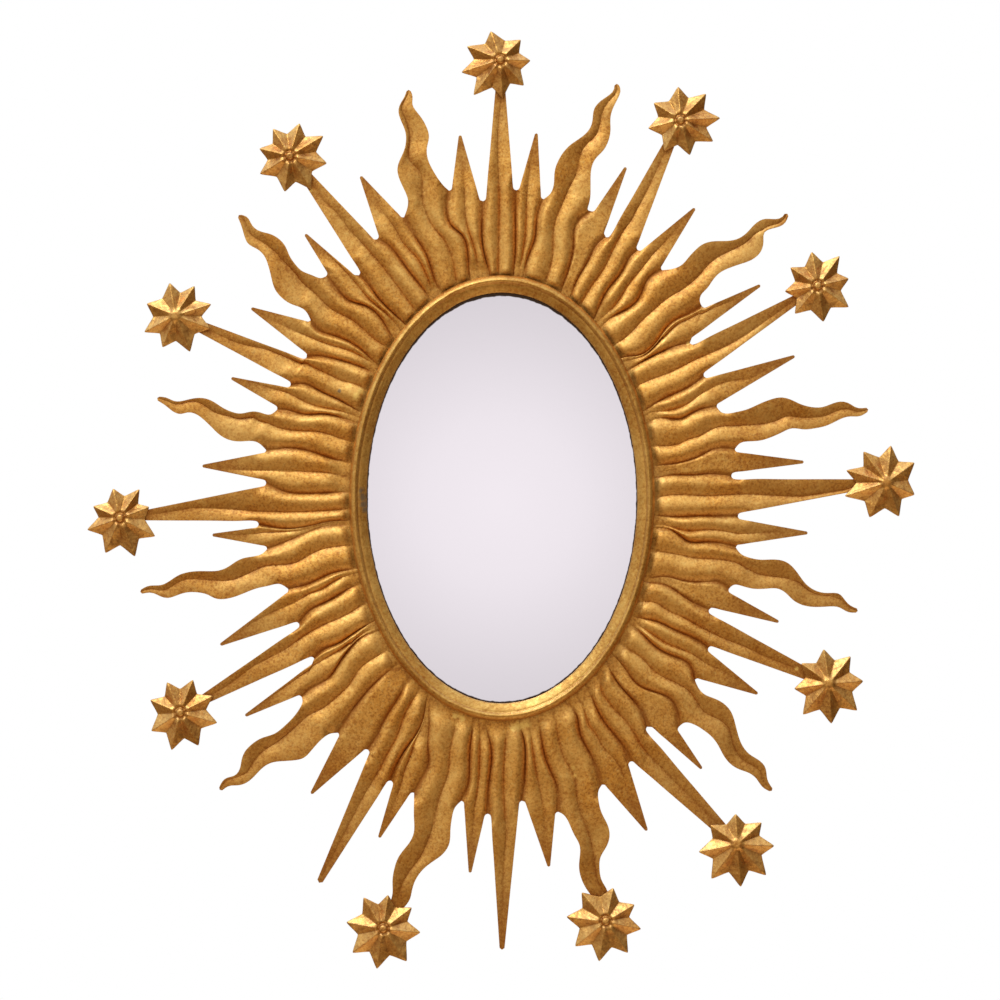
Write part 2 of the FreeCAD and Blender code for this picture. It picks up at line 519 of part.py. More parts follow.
def straight_edge(index, side):
    """Edge of a straight ray from its notch, round the notch's bottom, to the ray's end."""
    start = notch(index if side < 0 else index + 1)
    neighbour = ray_end(index - 1 if side < 0 else index + 1)
    end = ray_end(index)
    outward = ((end - start).normalize() + (neighbour - start).normalize()).normalize()
    clockwise = Vector(outward.z, 0.0, -outward.x)
    aside = clockwise*(-side)
    radius = Size.notch_radius
    eighth_turn = math.sqrt(0.5)
    axis = (end - between(notch(index), notch(index + 1), 0.5)).normalize()
    corner_aside = Vector(axis.z, 0.0, -axis.x)*side
    half_width = end_half_width(index)
    corner = end - axis*(half_width*end_round_share) + corner_aside*half_width
    points = [start, start + outward*radius*(1.0 - eighth_turn) + aside*radius*eighth_turn]
    leave = start + outward*radius + aside*radius
    for share in edge_station_shares:
        points.append(between(leave, corner, share))
    return stations(points, free_row_shares)


def flame_tip_corner(index, side):
    """Where a flame ray's edge meets the blunt end of its tip."""
    end = ray_end(index)
    left, right = [place(edge[-1]) for edge in flame_edge_pixels[index]]
    axis = (end - between(left, right, halfway_share)).normalize()
    aside = Vector(axis.z, 0.0, -axis.x)*side
    return end - axis*(Size.flame_tip_half_width*end_round_share) + aside*Size.flame_tip_half_width


def flame_edge(index, side):
    """Edge of a flame ray through its measured waves."""
    points = [notch(index if side < 0 else index + 1)]
    for pixel in flame_edge_pixels[index][0 if side < 0 else 1]:
        points.append(place(pixel))
    if index not in star_pixels:
        points.append(flame_tip_corner(index, side))
    return stations(points, free_row_shares)


def groove_crossing(line, left, right):
    """How far along a row, from left to right, a groove crosses it, if it does."""
    across = right - left
    for first, second in zip(line, line[1:]):
        first_side = across.x*(first.z - left.z) - across.z*(first.x - left.x)
        second_side = across.x*(second.z - left.z) - across.z*(second.x - left.x)
        if first_side*second_side <= 0.0 and first_side != second_side:
            crossing = between(first, second, first_side/(first_side - second_side))
            share = (crossing - left).dot(across)/across.Length**2
            if groove_margin_share <= share <= 1.0 - groove_margin_share:
                return share
    return None


def groove_row_shares(index, lefts, rights):
    """How far across each row the ray's groove lies; halfway where none is listed."""
    if index not in groove_pixels:
        return [halfway_share]*len(lefts)
    line = stations([place(pixel) for pixel in groove_pixels[index]], groove_station_shares)
    found = [groove_crossing(line, left, right) for left, right in zip(lefts, rights)]
    crossed = [row for row, share in enumerate(found) if share is not None]
    if not crossed:
        return [halfway_share]*len(lefts)
    shares = []
    for row, share in enumerate(found):
        if row < crossed[0]:
            share = found[crossed[0]]
        elif row > crossed[-1]:
            fade = smooth_step((row - crossed[-1])/groove_fade_rows)
            share = between(found[crossed[-1]], halfway_share, fade)
        elif share is None:
            share = shares[-1]
        shares.append(share)
    return shares


def ray_lines(index):
    """Left, middle and right lines of a ray in its base and in its free part."""
    left = valley_line(index)
    right = valley_line(index + 1)
    edge = flame_edge if ray_kind(index) == "flame" else straight_edge
    free_left = edge(index, -1)
    free_right = edge(index, 1)
    lefts = left + free_left[1:]
    rights = right + free_right[1:]
    shares = groove_row_shares(index, lefts, rights)
    points = [between(a, b, share) for a, b, share in zip(lefts, rights, shares)]
    middle = points[:len(left)]
    middle[0] = on_oval(middle[0], hoop_outer_reach)
    free_middle = points[len(left) - 1:]
    free_middle[-1] = ray_end(index)
    return (left, middle, right), (free_left, free_middle, free_right)


def relief(left, right, greatest=1.0):
    """Height of the ribs that fits the width of a ray at one row."""
    half_width = (right - left).Length/2.0
    return min(Size.rib_height*greatest, half_width*rib_slope_share)


def free_relief(index, lines, row, root_relief):
    """Height of the ribs on the free part of a ray, which is flat under a star."""
    share = free_row_shares[row]
    greatest = flame_channel_share if ray_kind(index) == "flame" else 1.0
    height = relief(lines[0][row], lines[2][row], greatest)*between(1.0, tip_relief_share, share)
    height = between(root_relief, height, smooth_step(share/channel_start_share))
    if index in star_pixels:
        cover = (share - star_cover_share)/(star_flat_share - star_cover_share)
        height *= 1.0 - smooth_step(cover)
    return height


def strip_row(outer, middle, height, profiles, blend, on_rim=False):
    """Points of one row of a strip, raised toward the viewer from the plane of the valleys."""
    points = []
    for share, before, after in zip(strip_column_shares, *profiles):
        point = between(outer, middle, share)
        if on_rim:
            point = on_oval(point, hoop_outer_reach)
        raised = height*between(before, after, blend)
        points.append(Vector(point.x, valley_front_y - raised, point.z))
    return points


def ray_strip(index, side):
    """Front surfaces of one half of a ray: its base and its free part."""
    base, free = ray_lines(index)
    inner_share = inner_relief_share
    if ray_kind(index) == "short":
        inner_share = short_inner_relief_share
    rows = []
    for row, share in enumerate(base_row_shares):
        height = relief(base[0][row], base[2][row])
        height *= between(inner_share, 1.0, smooth_step(share/inner_relief_end_share))
        rows.append(strip_row(base[side][row], base[1][row], height,
                              (rib_height_shares, notch_height_shares), smooth_step(share),
                              row == 0))
    free_rows = [rows[-1]]
    root_relief = relief(base[0][-1], base[2][-1])
    for row in range(1, len(free_row_shares)):
        height = free_relief(index, free, row, root_relief)
        free_rows.append(strip_row(free[side][row], free[1][row], height,
                                   (notch_height_shares, channel_height_shares),
                                   smooth_step(free_row_shares[row]/channel_start_share)))
    base_surface = net_surface(rows, base_row_shares, strip_column_shares)
    free_surface = net_surface(free_rows, free_row_shares, strip_column_shares)
    return base_surface, free_surface


def ray_panel(first_ray):
    """A pressed sheet of four rays, from one seam valley to the next."""
    surfaces = []
    rim = []
    last_ray = first_ray + rays_per_panel - 1
    for index in range(first_ray, last_ray + 1):
        for side in (0, 2):
            base_surface, free_surface = ray_strip(index, side)
            surfaces.extend([base_surface, free_surface])
            first_row, _, first_column, _ = base_surface.bounds()
            rim.append(base_surface.uIso(first_row))
            if (index, side) in ((first_ray, 0), (last_ray, 2)):
                rim.append(base_surface.vIso(first_column))
            _, last_row, first_column, _ = free_surface.bounds()
            rim.append(free_surface.uIso(last_row))
            rim.append(free_surface.vIso(first_column))
    return sheet_solid(surfaces, rim, Size.ray_sheet_thickness)


def star_line(hub, target, is_ridge, plain):
    """Points of a ridge or a furrow of a star, from near its centre to its rim."""
    direction = (target - hub).normalize()
    reach = (target - hub).Length
    front_y = star_back_y - Size.star_sheet_thickness
    hub_heights = plain_height_shares if plain else nub_height_shares
    arm_heights = ridge_height_shares if is_ridge else furrow_height_shares
    points = []
    for radius_share, height_share in zip(hub_radius_shares, hub_heights):
        if not is_ridge:
            height_share -= hub_furrow_drop_share*(radius_share - hub_radius_shares[0])**3
        point = hub + direction*(Size.star_hub_radius*radius_share)
        points.append(Vector(point.x, front_y - Size.star_height*height_share, point.z))
    for row_share, height_share in zip(arm_row_shares, arm_heights):
        point = hub + direction*between(Size.star_hub_radius, reach, row_share)
        points.append(Vector(point.x, front_y - Size.star_height*height_share, point.z))
    return points


def star_facet(hub, ridge, furrow):
    """Surface of one half of a star's arm, hollowed toward the hub along its rim."""
    rows = []
    for high, low, row_share in zip(ridge, furrow, star_row_shares):
        points = []
        for share, rim_share, bulge_share in zip(star_column_shares, star_rim_place_shares,
                                                 star_rim_bulge_shares):
            point = between(high, low, between(share, rim_share, row_share))
            outward = Vector(point.x - hub.x, 0.0, point.z - hub.z)
            points.append(point + outward*(bulge_share*row_share**3))
        rows.append(points)
    return net_surface(rows, star_row_shares, star_column_shares)


def star(index):
    """A pressed star with a ridge to each tip and a furrow to each notch."""
    hub_pixel, tip_pixels = star_pixels[index]
    hub = place(hub_pixel)
    tips = [place(pixel) for pixel in tip_pixels]
    plain = index in plain_stars
    furrow_ends = []
    for number, tip in enumerate(tips):
        following = tips[(number + 1) % len(tips)]
        aim = ((tip - hub).normalize() + (following - hub).normalize()).normalize()
        tip_reach = ((tip - hub).Length + (following - hub).Length)/2.0
        furrow_ends.append(hub + aim*(tip_reach*star_notch_share))
    surfaces = []
    rim = []
    cap_edges = []
    for number, tip in enumerate(tips):
        ridge = star_line(hub, tip, True, plain)
        for furrow_end in (furrow_ends[number - 1], furrow_ends[number]):
            surface = star_facet(hub, ridge, star_line(hub, furrow_end, False, plain))
            surfaces.append(surface)
            first_row, last_row, _, _ = surface.bounds()
            rim.append(surface.uIso(last_row))
            cap_edges.append(surface.uIso(first_row).toShape())
    cap = Part.Face(Part.Wire(Part.sortEdges(cap_edges)[0]))
    return sheet_solid(surfaces, rim, Size.star_sheet_thickness, [cap])


def star_stud(index):
    """The stud that joins a star's hub to the ray end under it."""
    hub = place(star_pixels[index][0])
    shares = plain_height_shares if index in plain_stars else nub_height_shares
    cap_back_y = star_back_y - Size.star_height*shares[0]
    start = Vector(hub.x, cap_back_y, hub.z)
    return Part.makeCylinder(Size.stud_radius, valley_front_y - cap_back_y, start, Vector(0, 1, 0))


def oval_edge(distance, y):
    """An upright oval at a distance outside the mirror's opening, as a closed edge."""
    half_x, half_z = oval_radii(distance)
    oval = Part.Ellipse(Vector(0.0, y, half_z), Vector(half_x, y, 0.0), Vector(0.0, y, 0.0))
    return oval.toShape()


def oval_ring(section):
    """A solid ring whose section is a closed outline of distances and Y places."""
    bands = []
    for number, (distance, y) in enumerate(section):
        next_distance, next_y = section[(number + 1) % len(section)]
        bands.append(Part.makeRuledSurface(oval_edge(distance, y),
                                           oval_edge(next_distance, next_y)))
    shell = Part.makeShell(bands)
    shell.sewShape()
    solid = Part.makeSolid(shell)
    if solid.Volume < 0:
        solid.reverse()
    return solid


def bezel_ring():
    """The frame ring: a lip on the glass, a bevel, a soft groove and a round bead."""
    depth = glass_front_y - bezel_crest_y
    section = []
    for width_share, depth_share in bezel_section_shares:
        section.append((Size.bezel_width*width_share, glass_front_y - depth*depth_share))
    section.append((Size.bezel_width, bezel_seat_y))
    section.append((glass_reach, bezel_seat_y))
    section.append((glass_reach, glass_front_y))
    return oval_ring(section)


def back_hoop():
    """The band on edge that carries the rays and holds the glass and the board."""
    return oval_ring([(hoop_inner_reach, 0.0), (hoop_inner_reach, bezel_seat_y),
                      (hoop_outer_reach, bezel_seat_y), (hoop_outer_reach, 0.0)])


def keep_shape(label, shape):
    """A finished shape as a sub-part of its own."""
    feature = doc.addObject("Part::Feature", label)
    feature.Label = label
    feature.Shape = shape
    return feature


def new_body(label):
    body = doc.addObject("PartDesign::Body", label)
    body.Label = label
    return body


def sketch_on(body, name, role):
    """A sketch on one of the body's own origin planes."""
    sketch = body.newObject("Sketcher::SketchObject", name)
    for plane in body.Origin.OriginFeatures:
        if plane.Role == role:
            sketch.AttachmentSupport = [(plane, "")]
    sketch.MapMode = "FlatFace"
    return sketch


def pad(body, sketch, length_expression, backward):
    """A pad of a front-view sketch, toward the viewer or toward the wall."""
    feature = body.newObject("PartDesign::Pad", sketch.Name + "_pad")
    feature.Profile = sketch
    feature.setExpression("Length", length_expression)
    feature.Reversed = backward
    sketch.Visibility = False
    return feature


def oval_plate(label, rear_y, thickness_name):
    """An oval plate the size of the glass, padded toward the viewer from its rear plane."""
    body = new_body(label)
    sketch = sketch_on(body, label + "_outline", "XZ_Plane")
    half_x, half_z = oval_radii(glass_reach)
    oval = sketch.addGeometry(Part.Ellipse(Vector(0, half_z, 0), Vector(half_x, 0, 0),
                                           Vector(0, 0, 0)))
    sketch.exposeInternalGeometry(oval)
    sketch.addConstraint(Sketcher.Constraint("Coincident", oval, 3, -1, 1))
    sketch.addConstraint(Sketcher.Constraint("Vertical", oval + 1))
    height = sketch.addConstraint(Sketcher.Constraint("Distance", oval + 1, 2*half_z))
    width = sketch.addConstraint(Sketcher.Constraint("Distance", oval + 2, 2*half_x))
    sketch.renameConstraint(height, "full_height")
    sketch.renameConstraint(width, "full_width")
    sketch.setExpression("Constraints.full_height",
                         "2*(dimensions.opening_half_height + dimensions.glass_overlap)")
    sketch.setExpression("Constraints.full_width",
                         "2*(dimensions.opening_half_width + dimensions.glass_overlap)")
    pad(body, sketch, "dimensions." + thickness_name, False)
    body.Placement.Base = Vector(0, rear_y, 0)
    return body


def rounded_bar(sketch, half_width, near_end, far_end):
    """A bar along the sketch's vertical with a half-round at each end, as places of its ends."""
    up = Vector(0, 1, 0)
    side = Vector(half_width, 0, 0)
    near = Vector(0, near_end + half_width, 0)
    far = Vector(0, far_end - half_width, 0)
    sketch.addGeometry(Part.LineSegment(near + side, far + side))
    sketch.addGeometry(Part.LineSegment(far - side, near - side))
    sketch.addGeometry(Part.Arc(far + side, far + up*half_width, far - side))
    sketch.addGeometry(Part.Arc(near - side, near - up*half_width, near + side))
    for first, second in ((0, 2), (2, 1), (1, 3), (3, 0)):
        sketch.addConstraint(Sketcher.Constraint("Coincident", first, 2, second, 1))


def turn_button(label, spot):
    """A flat button with a pivot hole, its length toward the middle of the board."""
    body = new_body(label)
    sketch = sketch_on(body, label + "_outline", "XZ_Plane")
    half_width = Size.button_width/2.0
    rounded_bar(sketch, half_width, -half_width, Size.button_length - half_width)
    hole_radius = Size.pivot_radius + Size.pivot_clearance
    hole = sketch.addGeometry(Part.Circle(Vector(0, 0, 0), Vector(0, 0, 1), hole_radius))
    radius = sketch.addConstraint(Sketcher.Constraint("Radius", hole, hole_radius))
    sketch.renameConstraint(radius, "hole_radius")
    sketch.setExpression("Constraints.hole_radius",
                         "dimensions.pivot_radius + dimensions.pivot_clearance")
    pad(body, sketch, "dimensions.button_thickness", True)
    body.Placement = spot
    return body


def rim_spot(turn, reach, y):
    """A place outside the hoop whose own upward axis points to the board's middle."""
    half_x, half_z = oval_radii(hoop_outer_reach)
    normal = Vector(math.cos(turn)/half_x, 0.0, math.sin(turn)/half_z).normalize()
    foot = Vector(half_x*math.cos(turn), 0.0, half_z*math.sin(turn))
    point = foot + normal*reach
    lean = math.degrees(math.atan2(-normal.x, -normal.z))
    return FreeCAD.Placement(Vector(point.x, y, point.z),
                             FreeCAD.Rotation(Vector(0, 1, 0), lean))


def button_lug(turn, hoop_outline):
    """A small shelf on the hoop's outside that carries a button's pivot."""
    spot = rim_spot(turn, 0.0, 0.0)
    half_width = Size.lug_width/2.0
    lug = Part.makeBox(Size.lug_width, Size.lug_thickness, Size.lug_reach + Size.hoop_wall,
                       Vector(-half_width, -Size.lug_thickness, -Size.lug_reach))
    lug.Placement = spot
    pivot = rim_spot(turn, Size.lug_reach/2.0, -Size.lug_thickness)
    hole = Part.makeCylinder(Size.pivot_radius, Size.lug_thickness, pivot.Base, Vector(0, 1, 0))
    return lug.cut(hoop_outline).cut(hole)


def button_pivot(turn):
    """A rivet through lug and button, with a head on each side."""
    head_gap = Size.button_gap
    head_y = head_gap + Size.button_thickness + head_gap
    centre = rim_spot(turn, Size.lug_reach/2.0, 0.0).Base
    back = Vector(0, 1, 0)
    low_y = -Size.lug_thickness - Size.pivot_head_height
    shank = Part.makeCylinder(Size.pivot_radius, head_y - low_y,
                              centre + back*low_y, back)
    head = Part.makeCylinder(Size.pivot_head_radius, Size.pivot_head_height,
                             centre + back*head_y, back)
    foot = Part.makeCylinder(Size.pivot_head_radius, Size.pivot_head_height,
                             centre + back*low_y, back)
    return shank.fuse([head, foot]).removeSplitter()


screw_depth_share = 0.8

# Height of the ring's axis behind the board and places of the hanger's parts along Z
curl_inner_radius = Size.ring_wire_radius + Size.curl_clearance
ring_axis_y = Size.strap_thickness + curl_inner_radius
hanger_sides = {"left": -1.0, "right": 1.0}


def hanger_place(side):
    return Vector(hanger_sides[side]*Size.hanger_spacing/2.0, 0.0, Size.hanger_height)


def hanger_strap(side):
    """A strap with a screw hole, its top end curled round the ring's straight bar."""
    middle = hanger_place(side)
    half_width = Size.strap_width/2.0
    outer_radius = curl_inner_radius + Size.strap_thickness
    across = Vector(1, 0, 0)
    plate = Part.makeBox(Size.strap_width, Size.strap_thickness, Size.strap_length,
                         middle - across*half_width - Vector(0, 0, Size.strap_length))
    axis_point = Vector(middle.x - half_width, ring_axis_y, middle.z)
    curl = Part.makeCylinder(outer_radius, Size.strap_width, axis_point, across)
    bore = Part.makeCylinder(curl_inner_radius, Size.strap_width, axis_point, across)
    hole = Part.makeCylinder(Size.screw_radius, Size.strap_thickness,
                             middle - Vector(0, 0, Size.strap_length/2.0), Vector(0, 1, 0))
    return plate.fuse(curl).cut(bore).cut(hole).removeSplitter()


def wire_run(start, direction, length):
    """A straight run of the ring's wire."""
    return Part.makeCylinder(Size.ring_wire_radius, length, start, direction)


def wire_bend(start, direction, middle, turn):
    """A bend of the ring's wire, clockwise seen from the front, about a middle point."""
    section = Part.Face(Part.Wire(Part.makeCircle(Size.ring_wire_radius, start, direction)))
    return section.revolve(middle, Vector(0, 1, 0), turn)


def d_ring(side):
    """A ring of round wire: a straight bar in the strap's curl and a bow hanging below it."""
    middle = hanger_place(side) + Vector(0, ring_axis_y, 0)
    right = Vector(1, 0, 0)
    down = Vector(0, 0, -1)
    half_width = Size.ring_half_width
    bend = Size.ring_corner_radius
    post_length = Size.ring_reach - bend
    bar_end = middle + right*(half_width - bend)
    bar_start = middle - right*(half_width - bend)
    right_post = middle + right*half_width + down*bend
    left_post = middle - right*half_width + down*bend
    bow_start = right_post + down*post_length
    pieces = [
        wire_bend(bar_end, right, bar_end + down*bend, 90.0),
        wire_run(right_post, down, post_length),
        wire_bend(bow_start, down, middle + down*Size.ring_reach, 180.0),
        wire_run(left_post, down, post_length),
        wire_bend(left_post, down, bar_start + down*bend, 90.0),
    ]
    return wire_run(bar_start, right, 2.0*(half_width - bend)).fuse(pieces)


def hanger_screw(side):
    """A pan-headed screw through the strap into the board."""
    centre = hanger_place(side) - Vector(0, 0, Size.strap_length/2.0)
    back = Vector(0, 1, 0)
    depth = Size.board_thickness*screw_depth_share
    shank = Part.makeCylinder(Size.screw_radius, depth + Size.strap_thickness,
                              centre - back*depth, back)
    head = Part.makeCylinder(Size.screw_head_radius, Size.screw_head_height,
                             centre + back*Size.strap_thickness, back)
    return shank.fuse(head).removeSplitter()


# Places round the rim where the turn buttons stand, in degrees from the right
button_turns = (25.0, 90.0, 155.0, 205.0, 270.0, 335.0)

nodes = {}

for number in range(ray_count//rays_per_panel):
    label = "ray_panel_%02d" % (number + 1)
    nodes[label] = keep_shape(label, ray_panel(number*rays_per_panel))

for number, index in enumerate(star_pixels):
    label = "star_%02d" % (number + 1)
    nodes[label] = keep_shape(label, star(index))

studs = Part.makeCompound([star_stud(index) for index in star_pixels])
nodes["star_studs"] = keep_shape("star_studs", studs)
nodes["bezel_ring"] = keep_shape("bezel_ring", bezel_ring())
nodes["back_hoop"] = keep_shape("back_hoop", back_hoop())
nodes["mirror_glass"] = oval_plate("mirror_glass", liner_front_y, "glass_thickness")
nodes["felt_liner"] = oval_plate("felt_liner", board_front_y, "liner_thickness")

board = oval_plate("backing_board", 0.0, "board_thickness")
holes = sketch_on(board, "screw_holes", "XZ_Plane")
for side in hanger_sides:
    centre = hanger_place(side)
    holes.addGeometry(Part.Circle(Vector(centre.x, centre.z - Size.strap_length/2.0, 0),
                                  Vector(0, 0, 1), Size.screw_radius))
pocket = board.newObject("PartDesign::Pocket", "screw_hole_pocket")
pocket.Profile = holes
pocket.Length = Size.board_thickness*screw_depth_share
pocket.Reversed = True
nodes["backing_board"] = board

hoop_outline = Part.Face(Part.Wire(oval_edge(hoop_outer_reach, -Size.lug_thickness)))
hoop_outline = hoop_outline.extrude(Vector(0, Size.lug_thickness, 0))
turns = [math.radians(turn) for turn in button_turns]
lugs = Part.makeCompound([button_lug(turn, hoop_outline) for turn in turns])
nodes["button_lugs"] = keep_shape("button_lugs", lugs)
pivots = Part.makeCompound([button_pivot(turn) for turn in turns])
nodes["button_pivots"] = keep_shape("button_pivots", pivots)
for number, turn in enumerate(turns):
    label = "turn_button_%d" % (number + 1)
    nodes[label] = turn_button(label, rim_spot(turn, Size.lug_reach/2.0, Size.button_gap))

for side in hanger_sides:
    nodes["hanger_strap_" + side] = keep_shape("hanger_strap_" + side, hanger_strap(side))
    nodes["d_ring_" + side] = keep_shape("d_ring_" + side, d_ring(side))
screws = Part.makeCompound([hanger_screw(side) for side in hanger_sides])
nodes["hanger_screws"] = keep_shape("hanger_screws", screws)

bumpers = []
for x_side in (-0.5, 0.5):
    for z_side in (-0.5, 0.5):
        foot = Vector(Size.bumper_spacing_x*x_side, 0.0, Size.bumper_spacing_z*z_side)
        bumpers.append(Part.makeCylinder(Size.bumper_radius, Size.bumper_height, foot,
                                         Vector(0, 1, 0)))
nodes["wall_bumpers"] = keep_shape("wall_bumpers", Part.makeCompound(bumpers))

doc.recompute()

for document_object in doc.Objects:
    if "Invalid" in document_object.State or "Error" in document_object.State:
        raise RuntimeError("not built: " + document_object.Name)
for label, node in nodes.items():
    if node.Shape.isNull() or not node.Shape.isValid():
        raise RuntimeError("shape is not sound: " + label)
    node.Shape.exportStep("parts/%s.step" % label)
    print(label, len(node.Shape.Solids), round(node.Shape.Volume))
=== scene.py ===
import math

import bpy
import numpy as np
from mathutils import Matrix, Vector, noise as hand


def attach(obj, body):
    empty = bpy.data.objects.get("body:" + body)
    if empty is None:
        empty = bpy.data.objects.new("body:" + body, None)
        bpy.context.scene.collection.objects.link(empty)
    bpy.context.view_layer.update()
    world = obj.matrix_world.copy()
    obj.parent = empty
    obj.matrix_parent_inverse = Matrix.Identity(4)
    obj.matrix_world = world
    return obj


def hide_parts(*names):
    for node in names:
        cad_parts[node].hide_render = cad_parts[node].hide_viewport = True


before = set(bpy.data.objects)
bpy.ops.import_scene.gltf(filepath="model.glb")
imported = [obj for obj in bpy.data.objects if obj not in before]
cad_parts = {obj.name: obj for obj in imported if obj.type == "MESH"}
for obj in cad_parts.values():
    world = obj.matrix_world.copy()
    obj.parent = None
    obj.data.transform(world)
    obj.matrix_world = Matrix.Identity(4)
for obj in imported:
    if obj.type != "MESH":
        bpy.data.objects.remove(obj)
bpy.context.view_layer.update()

# Row frame in metres: X to the right, Z up, the mirror faces -Y
scene = bpy.context.scene

# One photo pixel is one millimetre; the photo's middle lies beside the oval's centre
pixel = 0.001
centre_pixels = (502, 498)
photo_middle = Vector((-0.002, 0.0, -0.002))
photo_span = 1.0
camera_distance = 3.2
relief_y = -0.015

# Sizes of the frame's pieces, in metres
opening = (0.1355, 0.2055)
bezel_width = 0.017
hoop_reach = 0.0075
valley_y = -0.013
sheet_thickness = 0.0012
glass_y = -0.009
glass_overlap = 0.0045
bezel_seat_y = -0.0185
bezel_crest_y = -0.0241
rib_height = 0.0052
notch_radius = 0.0034
short_end_half_width = 0.0015
flame_tip_half_width = 0.0022
tip_corner_share = 0.7

# Valley lines between the rays, clockwise from the top, from the bezel out to the notch
valley_pixels = [
    [(489, 273), (485, 257), (482, 238), (482, 220), (483, 201)],
    [(514, 273), (515.5, 250), (515.5, 225), (516, 190)],
    [(524, 273.5), (528, 257), (535, 238), (537, 218), (543.5, 199)],
    [(562, 290), (569, 268), (573.5, 247), (575, 229), (581, 218), (591, 211)],
    [(570, 296), (577, 280), (588, 261), (599.5, 242), (606, 237)],
    [(594.5, 318), (603.5, 297), (613, 283), (623, 270), (631, 256), (638, 250)],
    [(601.5, 327), (616, 314.5), (630, 307), (639, 298), (645, 285), (651, 276), (662, 270)],
    [(622, 358), (639, 355), (653, 346), (662, 334), (672, 322), (688, 314), (702, 306)],
    [(627, 371), (642, 361.5), (662, 351.5), (680, 345), (690, 343)],
    [(643.5, 411), (658, 402), (676, 393), (695, 383.5), (704, 376)],
    [(645.5, 424), (653, 420), (667, 418), (681, 418.5), (691, 413.5), (702, 409), (717, 407)],
    [(653, 466), (669, 464.5), (686, 461), (700, 456), (713, 449.5), (725, 448), (735, 449)],
    [(653.5, 478), (665, 475.5), (690, 475), (713, 474), (731.5, 476)],
    [(654, 515.5), (675, 517), (700, 516), (720, 516.5), (738, 516)],
    [(653, 528), (668, 529), (679, 534.5), (688, 541), (706, 542), (736, 547.5)],
    [(645.5, 578), (662, 577), (680, 580), (706, 582), (719, 582), (729, 589)],
    [(644.5, 581.5), (660, 583), (678, 592), (696, 604), (709, 610)],
    [(633, 616), (655, 621), (677, 631), (696, 639.5), (708.5, 648)],
    [(629, 623.5), (643, 634.5), (655, 646), (672, 655.5), (690, 665.5), (695, 680)],
    [(611.5, 653), (625, 669), (639, 685.5), (655, 692), (670, 699), (676, 707.5), (679, 727)],
    [(605.5, 661.5), (616, 680), (628, 694.5), (643, 714), (647, 727)],
    [(585, 684.5), (594, 703), (604, 721.5), (617, 738), (628, 756), (630, 762)],
    [(566, 700), (576, 713.5), (580, 733), (588, 750), (595, 764), (602, 785)],
    [(537, 715), (541.5, 740), (546, 760), (551, 772), (557, 787), (558, 812)],
    [(519, 719.5), (524.5, 742), (525, 770), (524, 788), (522, 801)],
    [(485, 719.5), (491, 747), (490.5, 770), (488, 793), (488, 814)],
    [(475.5, 717), (471, 740), (469.5, 765), (467.5, 788), (461.5, 801)],
    [(431, 694), (428.5, 725), (427.5, 745), (428.5, 763), (422, 779), (414, 793)],
    [(429, 692.5), (424, 717), (411, 742), (400, 758), (391, 781)],
    [(411.5, 675.5), (397, 700), (384, 721), (375, 740), (368, 750)],
    [(400, 662), (382, 677), (365, 694), (352, 711), (338, 733)],
    [(380, 629), (360, 638.5), (348, 650), (337, 666), (328, 679), (312, 688), (301.5, 697)],
    [(376, 620), (355, 632.5), (337, 644), (323, 650), (314, 658.5)],
    [(362.5, 582.5), (346, 590.5), (325, 602.5), (310, 610.5), (299, 624)],
    [(358.5, 568.5), (338, 571.5), (321, 578), (306, 585), (288, 589)],
    [(351.5, 524.5), (330, 525.5), (316, 528.5), (302, 534.5), (288, 541), (267, 549)],
    [(351, 520.5), (330, 521.5), (310, 526), (285, 528.5), (258.5, 524)],
    [(350.5, 492), (325, 493), (300, 493.5), (282, 491), (266, 483)],
    [(352, 463), (335, 459.5), (314, 452.5), (295, 448.5), (266, 450)],
    [(357.5, 424), (341, 417.5), (323, 413.8), (302, 414), (288, 410.5), (277, 409.5)],
    [(361.5, 413), (341, 401), (321, 391.5), (303, 384), (290.5, 385)],
    [(376, 374), (356, 365), (334, 358.5), (318, 356), (306.5, 357)],
    [(379, 367), (365, 353), (350, 342), (330, 334.5), (317, 329), (310.5, 320)],
    [(394.5, 339), (380, 317), (364, 305), (348, 300), (338, 290), (326, 276)],
    [(405, 325), (388, 308.5), (376, 295), (366, 281), (359, 275)],
    [(431, 300), (416, 280), (402, 261.5), (388, 245), (377, 239)],
    [(440, 293), (433, 275), (426, 254), (415, 236), (404, 217)],
    [(470, 275), (468, 255), (462, 234.5), (451, 225), (447, 212), (449, 190.5)],
]

